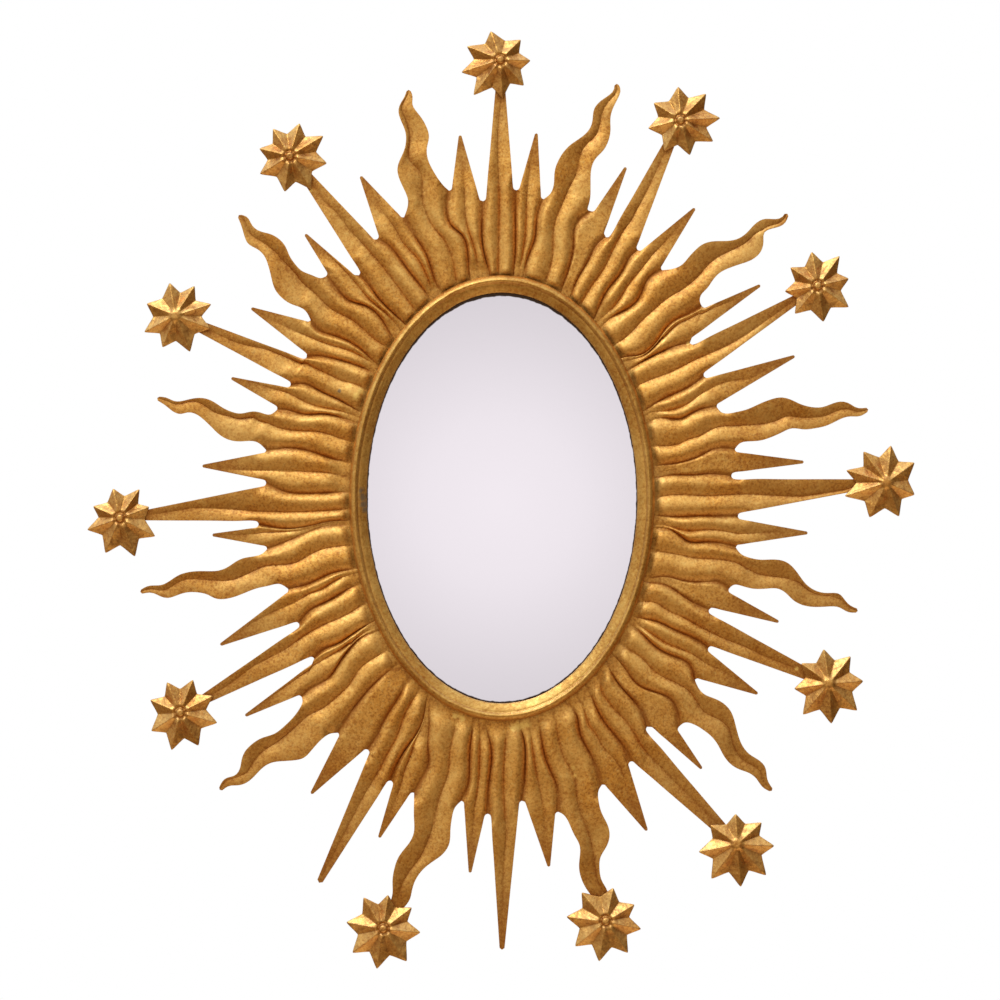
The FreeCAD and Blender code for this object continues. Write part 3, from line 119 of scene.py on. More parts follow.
# Groove down the middle of each ray, from the bezel outward; rays not listed have it halfway, or none
groove_pixels = {
    0: [(498.5, 272), (499, 235), (499.5, 200), (498, 150), (499, 120), (502, 100)],
    1: [(519, 272), (525.5, 235), (527, 200), (530, 165)],
    2: [(546, 281), (549, 272), (553, 255), (553.5, 235), (556, 220), (563, 203), (570, 187), (577, 172),
        (580, 158), (586, 145), (595.5, 136), (600, 124.5), (603, 111), (609, 101.5), (614, 96)],
    4: [(583, 301), (592, 286), (601.5, 273), (611, 255), (621.5, 234.5), (632, 220)],
    5: [(598, 321), (617, 303), (629.5, 284), (640, 271), (651, 257)],
    6: [(611, 347), (631, 333), (641, 322), (657.5, 307), (667, 299), (679.5, 291.5), (690, 284),
        (700, 275), (709, 264.5), (719, 257), (734.5, 249), (747.5, 241.5), (757.5, 232.5), (764, 229.5)],
    7: [(663, 338), (672, 329), (681, 321.5), (694, 315), (715, 305)],
    8: [(633, 388.5), (648, 381), (667, 374), (680, 368), (696, 359.5), (711.5, 353), (728, 345.5),
        (746, 335), (770, 318)],
    9: [(652, 412), (681, 407), (701, 394.5), (724.5, 382.5), (750.5, 379.5)],
    10: [(653.5, 446), (668.5, 446), (679, 444), (690, 439), (700.5, 436), (710, 430.5), (720, 427),
        (735, 426), (755, 425), (775, 421.5), (785, 417)],
    12: [(655, 498), (675, 495), (700, 496), (740, 494.5), (780, 496), (840, 496)],
    13: [(672, 527), (690, 531), (705, 530), (722, 531), (738, 534)],
    14: [(654, 551), (673.5, 554), (684, 556), (697, 558.5), (710, 559), (726, 560.5), (739, 564),
        (750, 570.5), (759, 574.5), (770, 576.5), (786, 578.5), (800, 583.5), (810, 589.5), (828, 595),
        (841, 600)],
    16: [(639.5, 602), (656, 603), (668, 610.5), (682, 617), (697, 625), (711, 632.5), (721, 637.5),
        (740, 645), (765, 657)],
    17: [(672.5, 646), (683, 650), (697, 657), (706, 663.5), (721, 669.5)],
    18: [(621, 643.5), (629, 650), (641, 657.5), (653, 670), (672.5, 681.5), (692, 694.5), (703.5, 711.5),
        (713, 717), (722, 721.5), (729, 729)],
    20: [(600, 680), (601, 688), (604, 695.5), (608.5, 702), (615, 710), (622.5, 717.5), (630, 727),
        (644.5, 750), (655, 762)],
    21: [(590, 727), (594.5, 732.5), (600, 741.5), (605, 750), (613, 758), (620.5, 768.5)],
    22: [(552.5, 711), (556, 725), (558.5, 737), (561, 749), (565, 760), (570.5, 769), (575, 780),
        (577, 797), (582, 816), (588, 831.5), (593.5, 853), (595, 867), (597.5, 881)],
    23: [(530, 720), (533, 750), (537, 775), (541, 795), (545, 820)],
    24: [(507, 722), (506, 740), (504.5, 760), (504, 790), (506, 830)],
    25: [(480, 722), (480, 750), (479, 780)],
    26: [(458, 718), (454, 733), (450, 751.5), (449, 770), (443.5, 787.5), (440, 797), (431, 833),
        (425.5, 847), (420, 858), (411, 869.5), (403, 883.5), (398.5, 895)],
    27: [(425, 712), (417, 730), (411, 755), (405, 770), (402, 782)],
    28: [(420.5, 688.5), (410.5, 704), (402, 722), (397, 736.5), (386.5, 756), (380, 770)],
    30: [(390, 648), (376.5, 657), (366, 663.5), (357, 672.5), (350, 684), (337, 697), (322, 709),
        (309, 715.5), (300, 723), (290, 732), (277, 742.5), (261.5, 753), (254, 762), (247.5, 772),
        (235, 778)],
    31: [(350, 643), (335, 653), (318, 663), (300, 674), (277, 690)],
    32: [(367, 602), (350, 613), (336, 620), (323, 625.5), (300, 639), (282, 651.5), (265, 660),
        (254, 665.5)],
    33: [(352, 574), (332, 582.5), (322, 589), (309, 594), (300, 599.5), (278, 609.5), (255, 621)],
    34: [(351.5, 545), (339.5, 546.5), (324.5, 549), (314, 553), (305, 558), (295, 563), (275.5, 565.5),
        (262, 567.5), (255.5, 570.5), (244.5, 575.5), (233, 580), (219, 581), (199, 579.5), (183.5, 580)],
    35: [(300, 531), (260, 533)],
    36: [(350, 509), (300, 512), (250, 511), (215, 508.5), (195, 508)],
    37: [(350, 478), (340, 475.5), (327, 473), (308, 472), (288, 471), (250, 470.5), (217, 469)],
    38: [(352, 442), (340, 438.5), (327, 434), (314, 431.5), (301, 431), (288.5, 430), (276, 427),
        (267, 423), (259, 421), (251, 416), (239.5, 415.5), (228, 416), (220, 414.5), (211, 410.5),
        (201.5, 404), (191.5, 401)],
    39: [(355, 416), (340, 411), (309.5, 404), (298, 398.5), (288.5, 393.5), (279, 390.5), (255, 383)],
    40: [(369, 391), (351, 383), (341, 380.5), (331.5, 376), (317.5, 369.5), (308, 364.5), (291, 358),
        (270, 349)],
    41: [(372, 363), (350, 351), (330, 345), (310, 337.5), (295, 331), (275, 322)],
    42: [(384, 345.5), (375, 339.5), (368, 333.5), (360.5, 327), (351, 319.5), (341, 314.5),
        (331.5, 309.5), (322, 301), (312.5, 291.5), (302, 282.5), (293, 271), (284, 262), (275, 252),
        (265, 244), (257, 239)],
    43: [(385, 312), (368, 298), (355, 282.5), (341, 267), (325, 250)],
    44: [(414.5, 309.5), (401.5, 292), (391.5, 278.5), (383, 267), (375.5, 258.5), (367.5, 249.5),
        (360, 241), (350.5, 231.5), (342, 220), (333, 209.5), (322.5, 200.5)],
    45: [(432, 289), (425, 272), (416, 256.5), (409, 249.5), (402, 241), (396.5, 231), (385, 215)],
    46: [(456, 279), (452.5, 260), (448.5, 248), (442.5, 238), (434.5, 228.5), (427, 215), (423.5, 205),
        (422.5, 190), (420, 172), (410, 160), (409, 149), (408.5, 138), (408, 125), (404, 115),
        (402, 110)],
    47: [(478, 272), (475, 250), (467, 225), (465, 200), (464, 175)],
}

# Ends of the rays; those of starred rays lie under their star
ray_end_pixels = [
    (500.5, 58), (536.5, 133), (616.5, 83.5), (626, 167), (681.5, 118), (695, 208), (787.5, 213.5),
    (760.5, 285), (820, 285), (795, 356), (868.5, 409.5), (804, 462), (889, 482), (808, 533), (858, 611),
    (779, 622), (831, 685), (758, 694), (772, 791), (702, 769), (738, 846), (647, 831), (606, 924),
    (549, 867), (502, 950), (470, 873), (381, 931), (379, 838), (319, 883), (311, 794), (219.5, 790),
    (245, 716), (178, 714), (220, 645), (140, 592), (212, 535), (117, 518), (202, 466), (157, 398),
    (231, 378), (173.5, 314.5), (251, 308), (238.5, 215), (305, 234), (289, 154), (360.5, 176),
    (408.7, 89.5), (460, 135),
]

# Widths of the long rays' ends
long_ray_end_width_pixels = {
    0: 5, 4: 7, 8: 5, 12: 6, 16: 8, 20: 10, 24: 5, 28: 6, 32: 5, 36: 5, 40: 8, 44: 6,
}

# Wavy edges of the flame rays, first the anticlockwise edge
flame_edge_pixels = {
    2: ([(550, 194), (554, 182), (554.5, 172.5), (558, 161.5), (565, 150.5), (570, 145.5), (582.5, 136.5),
        (589.5, 129), (592.5, 120), (594, 109.5), (600, 101.5), (609, 95), (614, 89)],
        [(588, 210), (588.5, 205.5), (590.5, 190.5), (590.5, 180), (591.5, 168), (595.5, 159), (603, 151),
        (608, 142), (610.5, 130.5), (610.5, 117.5), (614, 106), (619, 96), (620.5, 89)]),
    6: ([(672, 269), (681, 265.5), (688.5, 257.5), (695.5, 250), (702.5, 244.5), (713, 241.5), (728, 241),
        (738.5, 238.5), (747.5, 232), (755, 224), (764, 219), (774.5, 219), (782, 217)],
        [(700, 302), (700.5, 296), (706.5, 289), (711.5, 282), (719, 273.5), (729.5, 268), (741, 264),
        (751.5, 260), (760.5, 252), (763.5, 240.5), (764.5, 232.5), (769, 229.5), (778, 227),
        (784.5, 223.5)]),
    10: ([(721, 412), (736.5, 412), (746.5, 409.5), (759, 404), (770.5, 399.5), (781, 397.5), (790, 399.5),
        (800, 404), (811, 407), (822.5, 407), (832.5, 403.5), (841.5, 401.5), (849.5, 403.5),
        (856.5, 407.5)],
        [(740.5, 443), (747.5, 441.5), (760.5, 440.5), (771.5, 437), (781.5, 432.5), (791.5, 428.5),
        (804, 429.5), (814, 428.5), (825.5, 426), (836.5, 421), (849.5, 416.5), (860.5, 416)]),
    14: ([(740.5, 553.5), (749, 557.5), (759, 559.5), (776, 559.5), (786, 562), (793, 567.5), (800, 576.5),
        (807, 585), (815.5, 590.5), (828, 593), (839.5, 594), (845, 600), (850.5, 605.5)],
        [(733.5, 585), (742, 586), (752, 588.5), (767.5, 588.5), (777, 588.5), (784.5, 592), (793, 600),
        (804, 605.5), (815.5, 607), (829.5, 606.5), (839.5, 607.5), (848, 612)]),
    18: ([(698, 687), (703.5, 693.5), (713.5, 698), (723, 703), (730.5, 711), (734.5, 721.5), (737.5, 733),
        (741.5, 744), (750, 754.5), (760, 761), (765.5, 768), (767.5, 779.5)],
        [(685, 722.5), (692, 723.5), (703.5, 730), (712, 737), (718.5, 746), (723, 754.5), (729, 762.5),
        (738.5, 769), (750, 773.5), (757, 779.5), (762.5, 787)]),
    22: ([(599, 789.5), (598.5, 800.5), (602, 813.5), (607.5, 824.5), (609.5, 836), (606, 847),
        (600.5, 857), (599.5, 868.5), (602, 881), (607, 890), (609, 900), (609, 915)],
        [(562.5, 814), (569.5, 824), (574.5, 835), (579.5, 845), (580, 853), (579, 867), (581.5, 879),
        (586.5, 889), (591.5, 896), (597, 905), (600, 916)]),
    26: ([(455, 807.5), (452, 817.5), (450.5, 830), (449.5, 842.5), (443, 853.5), (431, 862.5),
        (421, 871.5), (415, 881), (412, 890.5), (410, 899), (403, 909), (392, 922)],
        [(414, 804.5), (414, 817.5), (414, 831.5), (410, 841.5), (403, 850.5), (398, 858), (394.5, 868),
        (392.5, 881), (392.5, 893), (390, 903), (384, 918)]),
    30: ([(329.5, 734), (323, 738), (316.5, 744.5), (310.5, 751.5), (304, 757.5), (295, 760), (282, 761),
        (270.5, 763), (263, 767.5), (256.5, 774), (251.5, 779), (245, 783.5), (237, 785.5), (229.5, 786)],
        [(302.5, 700.5), (300, 708), (293.5, 717), (284.5, 726), (274.5, 733.5), (261.5, 738),
        (251.5, 744.5), (245, 751.5), (241.5, 760.5), (239.5, 769.5), (234.5, 775.5), (225.5, 778.5)]),
    34: ([(279.5, 584), (269.5, 585.5), (258, 588), (247, 592), (235.5, 596.5), (224.5, 599), (216, 598.5),
        (207.5, 594.5), (199, 592.5), (186.5, 592.5), (176.5, 595.5), (168, 598), (159.5, 596),
        (152.5, 593)],
        [(262.5, 553.5), (255.5, 556), (242.5, 558.5), (235.5, 562), (227, 567.5), (218.5, 570.5),
        (204.5, 571), (189, 572), (179, 575), (169.5, 581), (161, 585), (148, 586)]),
    38: ([(256.5, 442), (241, 441.5), (229.5, 440), (220, 435), (211.5, 427), (203, 419), (194.5, 413.5),
        (187.5, 412.5), (180.5, 414), (173, 411.5), (166, 406)],
        [(270.5, 414.5), (262, 413), (253.5, 411.5), (241, 413.5), (231, 411.5), (222.5, 407.5),
        (214, 402), (205.5, 398.5), (196, 398), (186, 400), (174.5, 401), (166, 397.5)]),
    42: ([(304.5, 310), (292, 304.5), (281.5, 297.5), (275, 289), (271.5, 277.5), (268.5, 266),
        (264, 255.5), (257, 249), (248, 243.5), (244.5, 236.5), (241, 225)],
        [(321.5, 278), (312.5, 275.5), (302, 271), (295.5, 264.5), (290, 256.5), (285.5, 246.5),
        (279, 239), (270, 234), (258.5, 230.5), (252, 225), (247, 217)]),
    46: ([(408, 200), (405.5, 192.5), (400, 180.5), (397.5, 170), (400, 160), (404, 151), (406, 141.5),
        (405.5, 132.5), (400.5, 119.5), (398.5, 109.5), (401, 102.5), (404.5, 96.5)],
        [(445.5, 187.5), (440, 181.5), (433.5, 171.5), (428, 159.5), (427, 148), (429, 137), (426.5, 127),
        (421.5, 118), (415, 109.5), (412.5, 104.5), (412.5, 96)]),
}

# Rays that end under a star
starred_rays = (0, 4, 8, 12, 16, 20, 22, 26, 32, 36, 40, 44)


def place(point):
    """Row-frame X and Z of a pixel of the photo."""
    return np.array([(point[0] - centre_pixels[0])*pixel, (centre_pixels[1] - point[1])*pixel])


def link(tree, output, socket):
    tree.links.new(output, socket)


def new_material(name):
    material = bpy.data.materials.new(name)
    material.use_nodes = True
    tree = material.node_tree
    tree.nodes.clear()
    output = tree.nodes.new("ShaderNodeOutputMaterial")
    shader = tree.nodes.new("ShaderNodeBsdfPrincipled")
    link(tree, shader.outputs["BSDF"], output.inputs["Surface"])
    return material, tree, shader


def coordinate(tree, kind="Object"):
    return tree.nodes.new("ShaderNodeTexCoord").outputs[kind]


def noise(tree, scale, detail, roughness, offset=(0.0, 0.0, 0.0), distortion=0.0):
    """A noise in the row frame, so that it runs on from one piece to the next."""
    mapping = tree.nodes.new("ShaderNodeMapping")
    mapping.inputs["Location"].default_value = offset
    link(tree, coordinate(tree), mapping.inputs["Vector"])
    texture = tree.nodes.new("ShaderNodeTexNoise")
    texture.inputs["Scale"].default_value = scale
    texture.inputs["Detail"].default_value = detail
    texture.inputs["Roughness"].default_value = roughness
    texture.inputs["Distortion"].default_value = distortion
    link(tree, mapping.outputs["Vector"], texture.inputs["Vector"])
    return texture.outputs["Fac"]


def ramp(tree, factor, stops):
    """A colour ramp with (position, colour) stops."""
    node = tree.nodes.new("ShaderNodeValToRGB")
    elements = node.color_ramp.elements
    while len(elements) < len(stops):
        elements.new(0.5)
    for element, (position, colour) in zip(elements, stops):
        element.position = position
        element.color = (*colour, 1.0)
    link(tree, factor, node.inputs["Fac"])
    return node.outputs["Color"]


def grey(value):
    return (value, value, value)


def feed(tree, value, socket):
    """Give a socket a number, a colour or the output of another node."""
    if isinstance(value, (int, float)):
        socket.default_value = value
    elif isinstance(value, tuple):
        socket.default_value = (*value, 1.0)
    else:
        link(tree, value, socket)


def mix(tree, factor, first, second, blend="MIX"):
    node = tree.nodes.new("ShaderNodeMix")
    node.data_type = "RGBA"
    node.blend_type = blend
    feed(tree, factor, node.inputs[0])
    feed(tree, first, node.inputs[6])
    feed(tree, second, node.inputs[7])
    return node.outputs[2]


def math_node(tree, operation, *values):
    node = tree.nodes.new("ShaderNodeMath")
    node.operation = operation
    for value, socket in zip(values, node.inputs):
        feed(tree, value, socket)
    return node.outputs[0]


def vector_node(tree, operation, first, second=None):
    node = tree.nodes.new("ShaderNodeVectorMath")
    node.operation = operation
    link(tree, first, node.inputs[0])
    if second is not None:
        node.inputs[1].default_value = second
    return node.outputs["Vector" if operation == "MULTIPLY" else "Value"]


def part_of(tree, vector, axis):
    node = tree.nodes.new("ShaderNodeSeparateXYZ")
    link(tree, vector, node.inputs["Vector"])
    return node.outputs[axis]


def bump(tree, shader, layers, rounding=0.0):
    """Bump layers of (height, strength, distance), laid on edges rounded a little when a rounding is
    given.
    """
    previous = None
    if rounding:
        rounded = tree.nodes.new("ShaderNodeBevel")
        rounded.samples = 6
        rounded.inputs["Radius"].default_value = rounding
        previous = rounded.outputs["Normal"]
    for height, strength, distance in layers:
        node = tree.nodes.new("ShaderNodeBump")
        node.inputs["Strength"].default_value = strength
        node.inputs["Distance"].default_value = distance
        link(tree, height, node.inputs["Height"])
        if previous is not None:
            link(tree, previous, node.inputs["Normal"])
        previous = node.outputs["Normal"]
    link(tree, previous, shader.inputs["Normal"])


def spots(tree, places, ragged):
    """Above 0 near each (pixel, radius in pixels) place of the front, with a ragged edge."""
    flat = vector_node(tree, "MULTIPLY", coordinate(tree), (1.0, 0.0, 1.0))
    total = 0.0
    for point, radius in places:
        x, z = place(point)
        gap = vector_node(tree, "DISTANCE", flat, (x, 0.0, z))
        nearness = math_node(tree, "DIVIDE", gap, -radius*pixel)
        total = math_node(tree, "MAXIMUM", total, math_node(tree, "ADD", nearness, 2.0))
    return ramp(tree, math_node(tree, "MULTIPLY", total, ragged),
                [(0.35, grey(0.0)), (0.75, grey(0.75))])


def oval_place(tree, share=1.0):
    """Place in units of the opening's half width and half height, times a share."""
    return vector_node(tree, "MULTIPLY", coordinate(tree),
                       (share/opening[0], 0.0, share/opening[1]))


def toned(colour, share):
    return tuple(part*share for part in colour)


# Gold leaf over red-brown ground, whose colour also serves as painted shade: colours, scales of the noises
# in the frame, and bump depths
red_ground_and_shade = (0.37, 0.112, 0.010)
bright_fleck = (0.90, 0.58, 0.16)
outer_tone = (0.83, 0.79, 0.75)
patch_scale = 22.0
mottle_scale = 130.0
wear_scale = 300.0
grain_scale = 430.0
mottle_depth = 0.0006
grain_depth = 0.0003


def gold_leaf(name, light, deep, wear, roughness, offset, crested=False, patches_at=(),
              shade_reach=0.005, shade_openness=(0.2, 0.7), dents_at=(48.0, 0.0011),
              rounding=0.0, coat=0.18):
    """Aged gold leaf: worn spots, painted shade in the hollows, a fine grain and small dents."""
    material, tree, shader = new_material(name)
    patches = noise(tree, patch_scale, 5.0, 0.6, offset, 0.3)
    mottle = noise(tree, mottle_scale, 4.0, 0.65, offset)
    fine = noise(tree, wear_scale, 4.0, 0.65, offset, 0.4)
    grain = noise(tree, grain_scale, 3.0, 0.7, offset)

    # Leaf in two golds, worn through in spots and specks, with bright flecks
    tone = mix(tree, ramp(tree, patches, [(0.3, grey(0.0)), (0.7, grey(1.0))]), deep, light)
    worn = ramp(tree, fine, [(wear - 0.08, grey(0.45)), (wear + 0.06, grey(0.0))])
    tone = mix(tree, worn, tone, toned(red_ground_and_shade, 1.3))
    specks = ramp(tree, grain, [(0.38, grey(0.85)), (0.53, grey(0.0))])
    thick = ramp(tree, patches, [(0.35, grey(0.95)), (0.65, grey(0.35))])
    tone = mix(tree, math_node(tree, "MULTIPLY", specks, thick), tone, toned(red_ground_and_shade, 1.1))
    flecks = ramp(tree, fine, [(0.53, grey(0.0)), (0.68, grey(0.3))])
    tone = mix(tree, flecks, tone, bright_fleck)

    # Painted shade, partly the red ground that shows there: hollows found by occlusion, and on the rays
    # the low valleys and grooves, darken toward the red ground; the arms further out are darker
    occlusion_shade = tree.nodes.new("ShaderNodeAmbientOcclusion")
    occlusion_shade.samples = 8
    occlusion_shade.inputs["Distance"].default_value = shade_reach
    dark = ramp(tree, occlusion_shade.outputs["AO"], [(shade_openness[0], grey(0.8)),
                                              (shade_openness[1], grey(0.0))])
    # On the rays, painted shade in the valleys and grooves: the lower a place on its rib, the darker
    if crested:
        height = tree.nodes.new("ShaderNodeAttribute")
        height.attribute_name = "crest"
        broken = math_node(tree, "MULTIPLY_ADD", mottle, 0.5, height.outputs["Fac"])
        broken = math_node(tree, "MULTIPLY_ADD", grain, 0.6, broken)
        low = ramp(tree, math_node(tree, "MULTIPLY", broken, 0.5),
                   [(0.30, grey(0.9)), (0.495, grey(0.0))])
        dark = math_node(tree, "MAXIMUM", dark, low)
        reach = vector_node(tree, "LENGTH", oval_place(tree, 0.25))
        outward = ramp(tree, reach, [(0.36, grey(1.0)), (0.50, outer_tone)])
        tone = mix(tree, 1.0, tone, outward, "MULTIPLY")
    # Painted shade mixed in toward the red ground
    tone = mix(tree, dark, tone, red_ground_and_shade)
    for places, colour in patches_at:
        tone = mix(tree, spots(tree, places, fine), tone, colour)
    link(tree, tone, shader.inputs["Base Color"])

    shader.inputs["Metallic"].default_value = 0.88
    rough = ramp(tree, mottle, [(0.3, grey(roughness + 0.12)), (0.7, grey(roughness - 0.05))])
    link(tree, rough, shader.inputs["Roughness"])
    shader.inputs["Specular IOR Level"].default_value = 0.3
    shader.inputs["Coat Weight"].default_value = coat
    shader.inputs["Coat Roughness"].default_value = 0.35
    dents = noise(tree, dents_at[0], 2.0, 0.5, offset)
    bump(tree, shader, [(dents, 1.0, dents_at[1]), (mottle, 0.35, mottle_depth),
                        (grain, 0.4, grain_depth)], rounding)
    return material


def plain(name, colour, metallic, roughness, scale, depth):
    """A plain finish with a slight grain in colour and surface."""
    material, tree, shader = new_material(name)
    grain = noise(tree, scale, 4.0, 0.6)
    tone = ramp(tree, grain, [(0.3, toned(colour, 0.75)), (0.7, colour)])
    link(tree, tone, shader.inputs["Base Color"])
    shader.inputs["Metallic"].default_value = metallic
    shader.inputs["Roughness"].default_value = roughness
    bump(tree, shader, [(grain, 0.3, depth)])
    return material


# Pale solder, with a painted highlight, and dark stains, each as a pixel of the photo and a radius in
# pixels
ray_solder_and_glint_spots = [((514, 727), 4), ((520, 726), 5), ((527, 724), 4), ((456, 716), 3),
              ((462, 718), 3), ((357, 396), 4), ((361, 392), 3), ((573, 768), 2), ((575, 776), 2),
              # The last two spots here are a painted highlight on the lit edge of a crack by a star
              ((688, 343), 2), ((308.5, 191.5), 1.6), ((311.5, 190.5), 1.6),
              ((797, 669), 2), ((714, 840), 2)]
ray_stains = [((339.5, 391), 1.8)]
bezel_stains = [((362, 490), 3), ((363, 497), 4), ((364, 504), 4), ((365, 510), 3)]
pale_solder_and_glint = (1.0, 0.62, 0.14)
dark_stain = (0.20, 0.14, 0.09)
gold_light = (0.84, 0.440, 0.094)
gold_deep = (0.72, 0.295, 0.035)
gold_rays = gold_leaf("aged_gold_rays", gold_light, gold_deep, wear=0.42, roughness=0.48,
                      offset=(0.0, 0.0, 0.0), crested=True,
                      patches_at=[(ray_solder_and_glint_spots, pale_solder_and_glint), (ray_stains, dark_stain)])
# The stars take a wider, stronger painted shade, darkening their furrows and the facets round the hub
gold_stars = gold_leaf("aged_gold_stars", (0.80, 0.420, 0.096), (0.68, 0.28, 0.036), wear=0.41,
                       roughness=0.31, offset=(3.1, 1.7, 0.4), shade_reach=0.014,
                       shade_openness=(0.55, 0.97), dents_at=(110.0, 0.0014), rounding=0.0016,
                       coat=0.4)
gold_bezel = gold_leaf("aged_gold_bezel", (0.76, 0.400, 0.082), (0.56, 0.25, 0.036), wear=0.40,
                       roughness=0.42, offset=(7.3, 2.9, 5.1),
                       patches_at=[(bezel_stains, dark_stain)])


# Painted shadow of the bezel's lip, a dark rim on the mirror: how much wider it is at the top, and how
# ragged
rim_shadow_widening_share = 0.0085
rim_shadow_ragged_share = 0.012


def silvered_glass_with_painted_shadow():
    """Mirror with a painted shadow of the bezel's lip as a dark rim, widest at the top."""
    material, tree, shader = new_material("silvered_glass_with_painted_shadow")
    spot = oval_place(tree)
    height = math_node(tree, "MAXIMUM", part_of(tree, spot, "Z"), 0.0)
    widened = math_node(tree, "MULTIPLY", math_node(tree, "POWER", height, 5.0),
                        rim_shadow_widening_share)
    ragged = math_node(tree, "MULTIPLY", noise(tree, 150.0, 3.0, 0.6), rim_shadow_ragged_share)
    # The dark rim is the painted shadow of the bezel's lip
    edge = math_node(tree, "ADD", vector_node(tree, "LENGTH", spot),
                     math_node(tree, "ADD", ragged, widened))
    silver = ramp(tree, edge, [(0.9985, (0.93, 0.923, 0.94)), (1.0, (0.05, 0.03, 0.018))])
    link(tree, silver, shader.inputs["Base Color"])
    shader.inputs["Metallic"].default_value = 1.0
    shader.inputs["Roughness"].default_value = 0.03
    return material


mirror = silvered_glass_with_painted_shadow()
iron = plain("dark_painted_iron", (0.10, 0.055, 0.025), metallic=0.4, roughness=0.55,
             scale=160.0, depth=0.0004)
felt = plain("black_felt", (0.03, 0.03, 0.032), metallic=0.0, roughness=0.95,
             scale=900.0, depth=0.0006)
hardboard = plain("brown_hardboard", (0.30, 0.17, 0.08), metallic=0.0, roughness=0.8,
                  scale=260.0, depth=0.0003)
zinc = plain("zinc_plated_steel", (0.62, 0.62, 0.60), metallic=1.0, roughness=0.35,
             scale=220.0, depth=0.0002)
rubber = plain("black_rubber", (0.03, 0.03, 0.03), metallic=0.0, roughness=0.7,
               scale=300.0, depth=0.0003)
solder = plain("dull_solder", (0.45, 0.40, 0.30), metallic=0.9, roughness=0.45,
               scale=400.0, depth=0.0004)

finishes = {"ray_panel": gold_rays, "star_studs": solder, "star": gold_stars,
            "bezel_ring": gold_bezel, "back_hoop": iron, "button_lugs": iron,
            "mirror_glass": mirror, "felt_liner": felt, "backing_board": hardboard,
            "wall_bumpers": rubber}
for name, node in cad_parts.items():
    found = [material for start, material in finishes.items() if name.startswith(start)]
    node.data.materials.clear()
    node.data.materials.append(found[0] if found else zinc)


ray_count = 48
rays_per_panel = 4

# Rows and columns of points on each half of a ray; beyond the notch the rows start closer
base_rows = 34
free_rows = 54
crowding_power = 1.35
strip_columns = 17
join_distance = 0.000005
sharp_angle = math.radians(50.0)

# A rib's cross section: where it is highest, how far it drops to the ray's groove, and how
# sharply it rises from a valley and beside a notch
crest_share = 0.46
groove_drop_share = 0.78
steepest_share = 0.42
crease_power = 0.9
notch_power = 1.5
notch_power_start_share = 0.6

# Rays without a groove are low and flat; ribs are low where a ray is pinched and on short rays
level_rays = (3, 11, 15, 19, 29)
level_rise_share = 0.55
level_crest_share = 0.45
pinch_start = 0.006
pinch_span = 0.007
wide_pinch_rays = (27,)
wide_pinch_span = 0.018
pinch_fall_share = 0.85
short_fall_share = 0.40
short_fall_start_share = 0.4

# Beyond its notch a ray opens to a channel, and grows lower toward its end or its star
channel_reach = 0.018
notch_blend_share = 0.28
flame_rise_share = 1.25
end_fall_share = 0.45
free_fall_shares = {"short": 0.85, "long": 0.65, "flame": 0.0}
free_fall_reach_share = 0.8
full_height_rays = (12,)
star_flat_start_share = 0.74
star_flat_reach_share = 0.12

# How high the finish takes a place to be, the lower the darker: lower along the free parts and on flat
# places
free_darkening_shares = {"long": 0.45, "flame": 0.25, "short": 0.40}
flat_crest_share = 0.30
flat_height_share = 0.4

# Unevenness of the hand-pressed ribs
sway_share = 0.07
sway_scale = 40.0
wave_share = 0.12
wave_height = 0.00025
wave_scale = 30.0

# Steps along a curve whose length is measured
curve_steps = 600


def on_oval(point, reach):
    """The point of the oval that lies a reach outside the opening, in the same direction."""
    turn = math.atan2(point[1]/(opening[1] + bezel_width), point[0]/(opening[0] + bezel_width))
    return np.array([(opening[0] + reach)*math.cos(turn), (opening[1] + reach)*math.sin(turn)])


def natural_spline(knots, values, at):
    """A natural cubic spline through values at knots."""
    count = len(knots)
    steps = np.diff(knots)
    system = np.eye(count)
    right = np.zeros((count,) + values.shape[1:])
    for row in range(1, count - 1):
        system[row, row - 1:row + 2] = (steps[row - 1], 2*(steps[row - 1] + steps[row]),
                                        steps[row])
        right[row] = 6*((values[row + 1] - values[row])/steps[row]
                        - (values[row] - values[row - 1])/steps[row - 1])
    bend = np.linalg.solve(system, right)
    at = np.clip(at, knots[0], knots[-1])
    cell = np.clip(np.searchsorted(knots, at, side="right") - 1, 0, count - 2)
    shape = (len(at),) + (1,)*(values.ndim - 1)
    step = steps[cell].reshape(shape)
    low = (knots[cell + 1] - at).reshape(shape)/step
    high = (at - knots[cell]).reshape(shape)/step
    return (low*values[cell] + high*values[cell + 1]
            + ((low**3 - low)*bend[cell] + (high**3 - high)*bend[cell + 1])*step*step/6)


def stations(points, shares):
    """Points at shares of the length of a smooth curve through the given points."""
    points = np.array(points)
    knots = np.concatenate([[0.0], np.cumsum(np.linalg.norm(np.diff(points, axis=0), axis=1))])
    fine = np.linspace(0.0, knots[-1], curve_steps)
    curve = natural_spline(knots, points, fine)
    lengths = np.concatenate([[0.0], np.cumsum(np.linalg.norm(np.diff(curve, axis=0), axis=1))])
    return natural_spline(knots, points, np.interp(np.array(shares)*lengths[-1], lengths, fine))


def smooth(value):
    value = np.clip(value, 0.0, 1.0)
    return value*value*(3.0 - 2.0*value)


def even_shares(count):
    return np.linspace(0.0, 1.0, count)


base_shares = even_shares(base_rows)
free_shares = even_shares(free_rows)**crowding_power
strip_shares = even_shares(strip_columns)


def bead(value, power):
    """Rise of a round bead from a crease at 0, sharp where the power is low, to its crest at 1."""
    return np.sin(0.5*math.pi*np.clip(value, 0.0, 1.0))**power


def rib(across, outer_power, drop):
    """Height of a rib between its valley at 0 and the ray's groove at 1."""
    outer_flank = bead(across/crest_share, outer_power)
    inner_flank = bead((1.0 - across)/(1.0 - crest_share), crease_power)
    return outer_flank - drop*(1.0 - inner_flank)


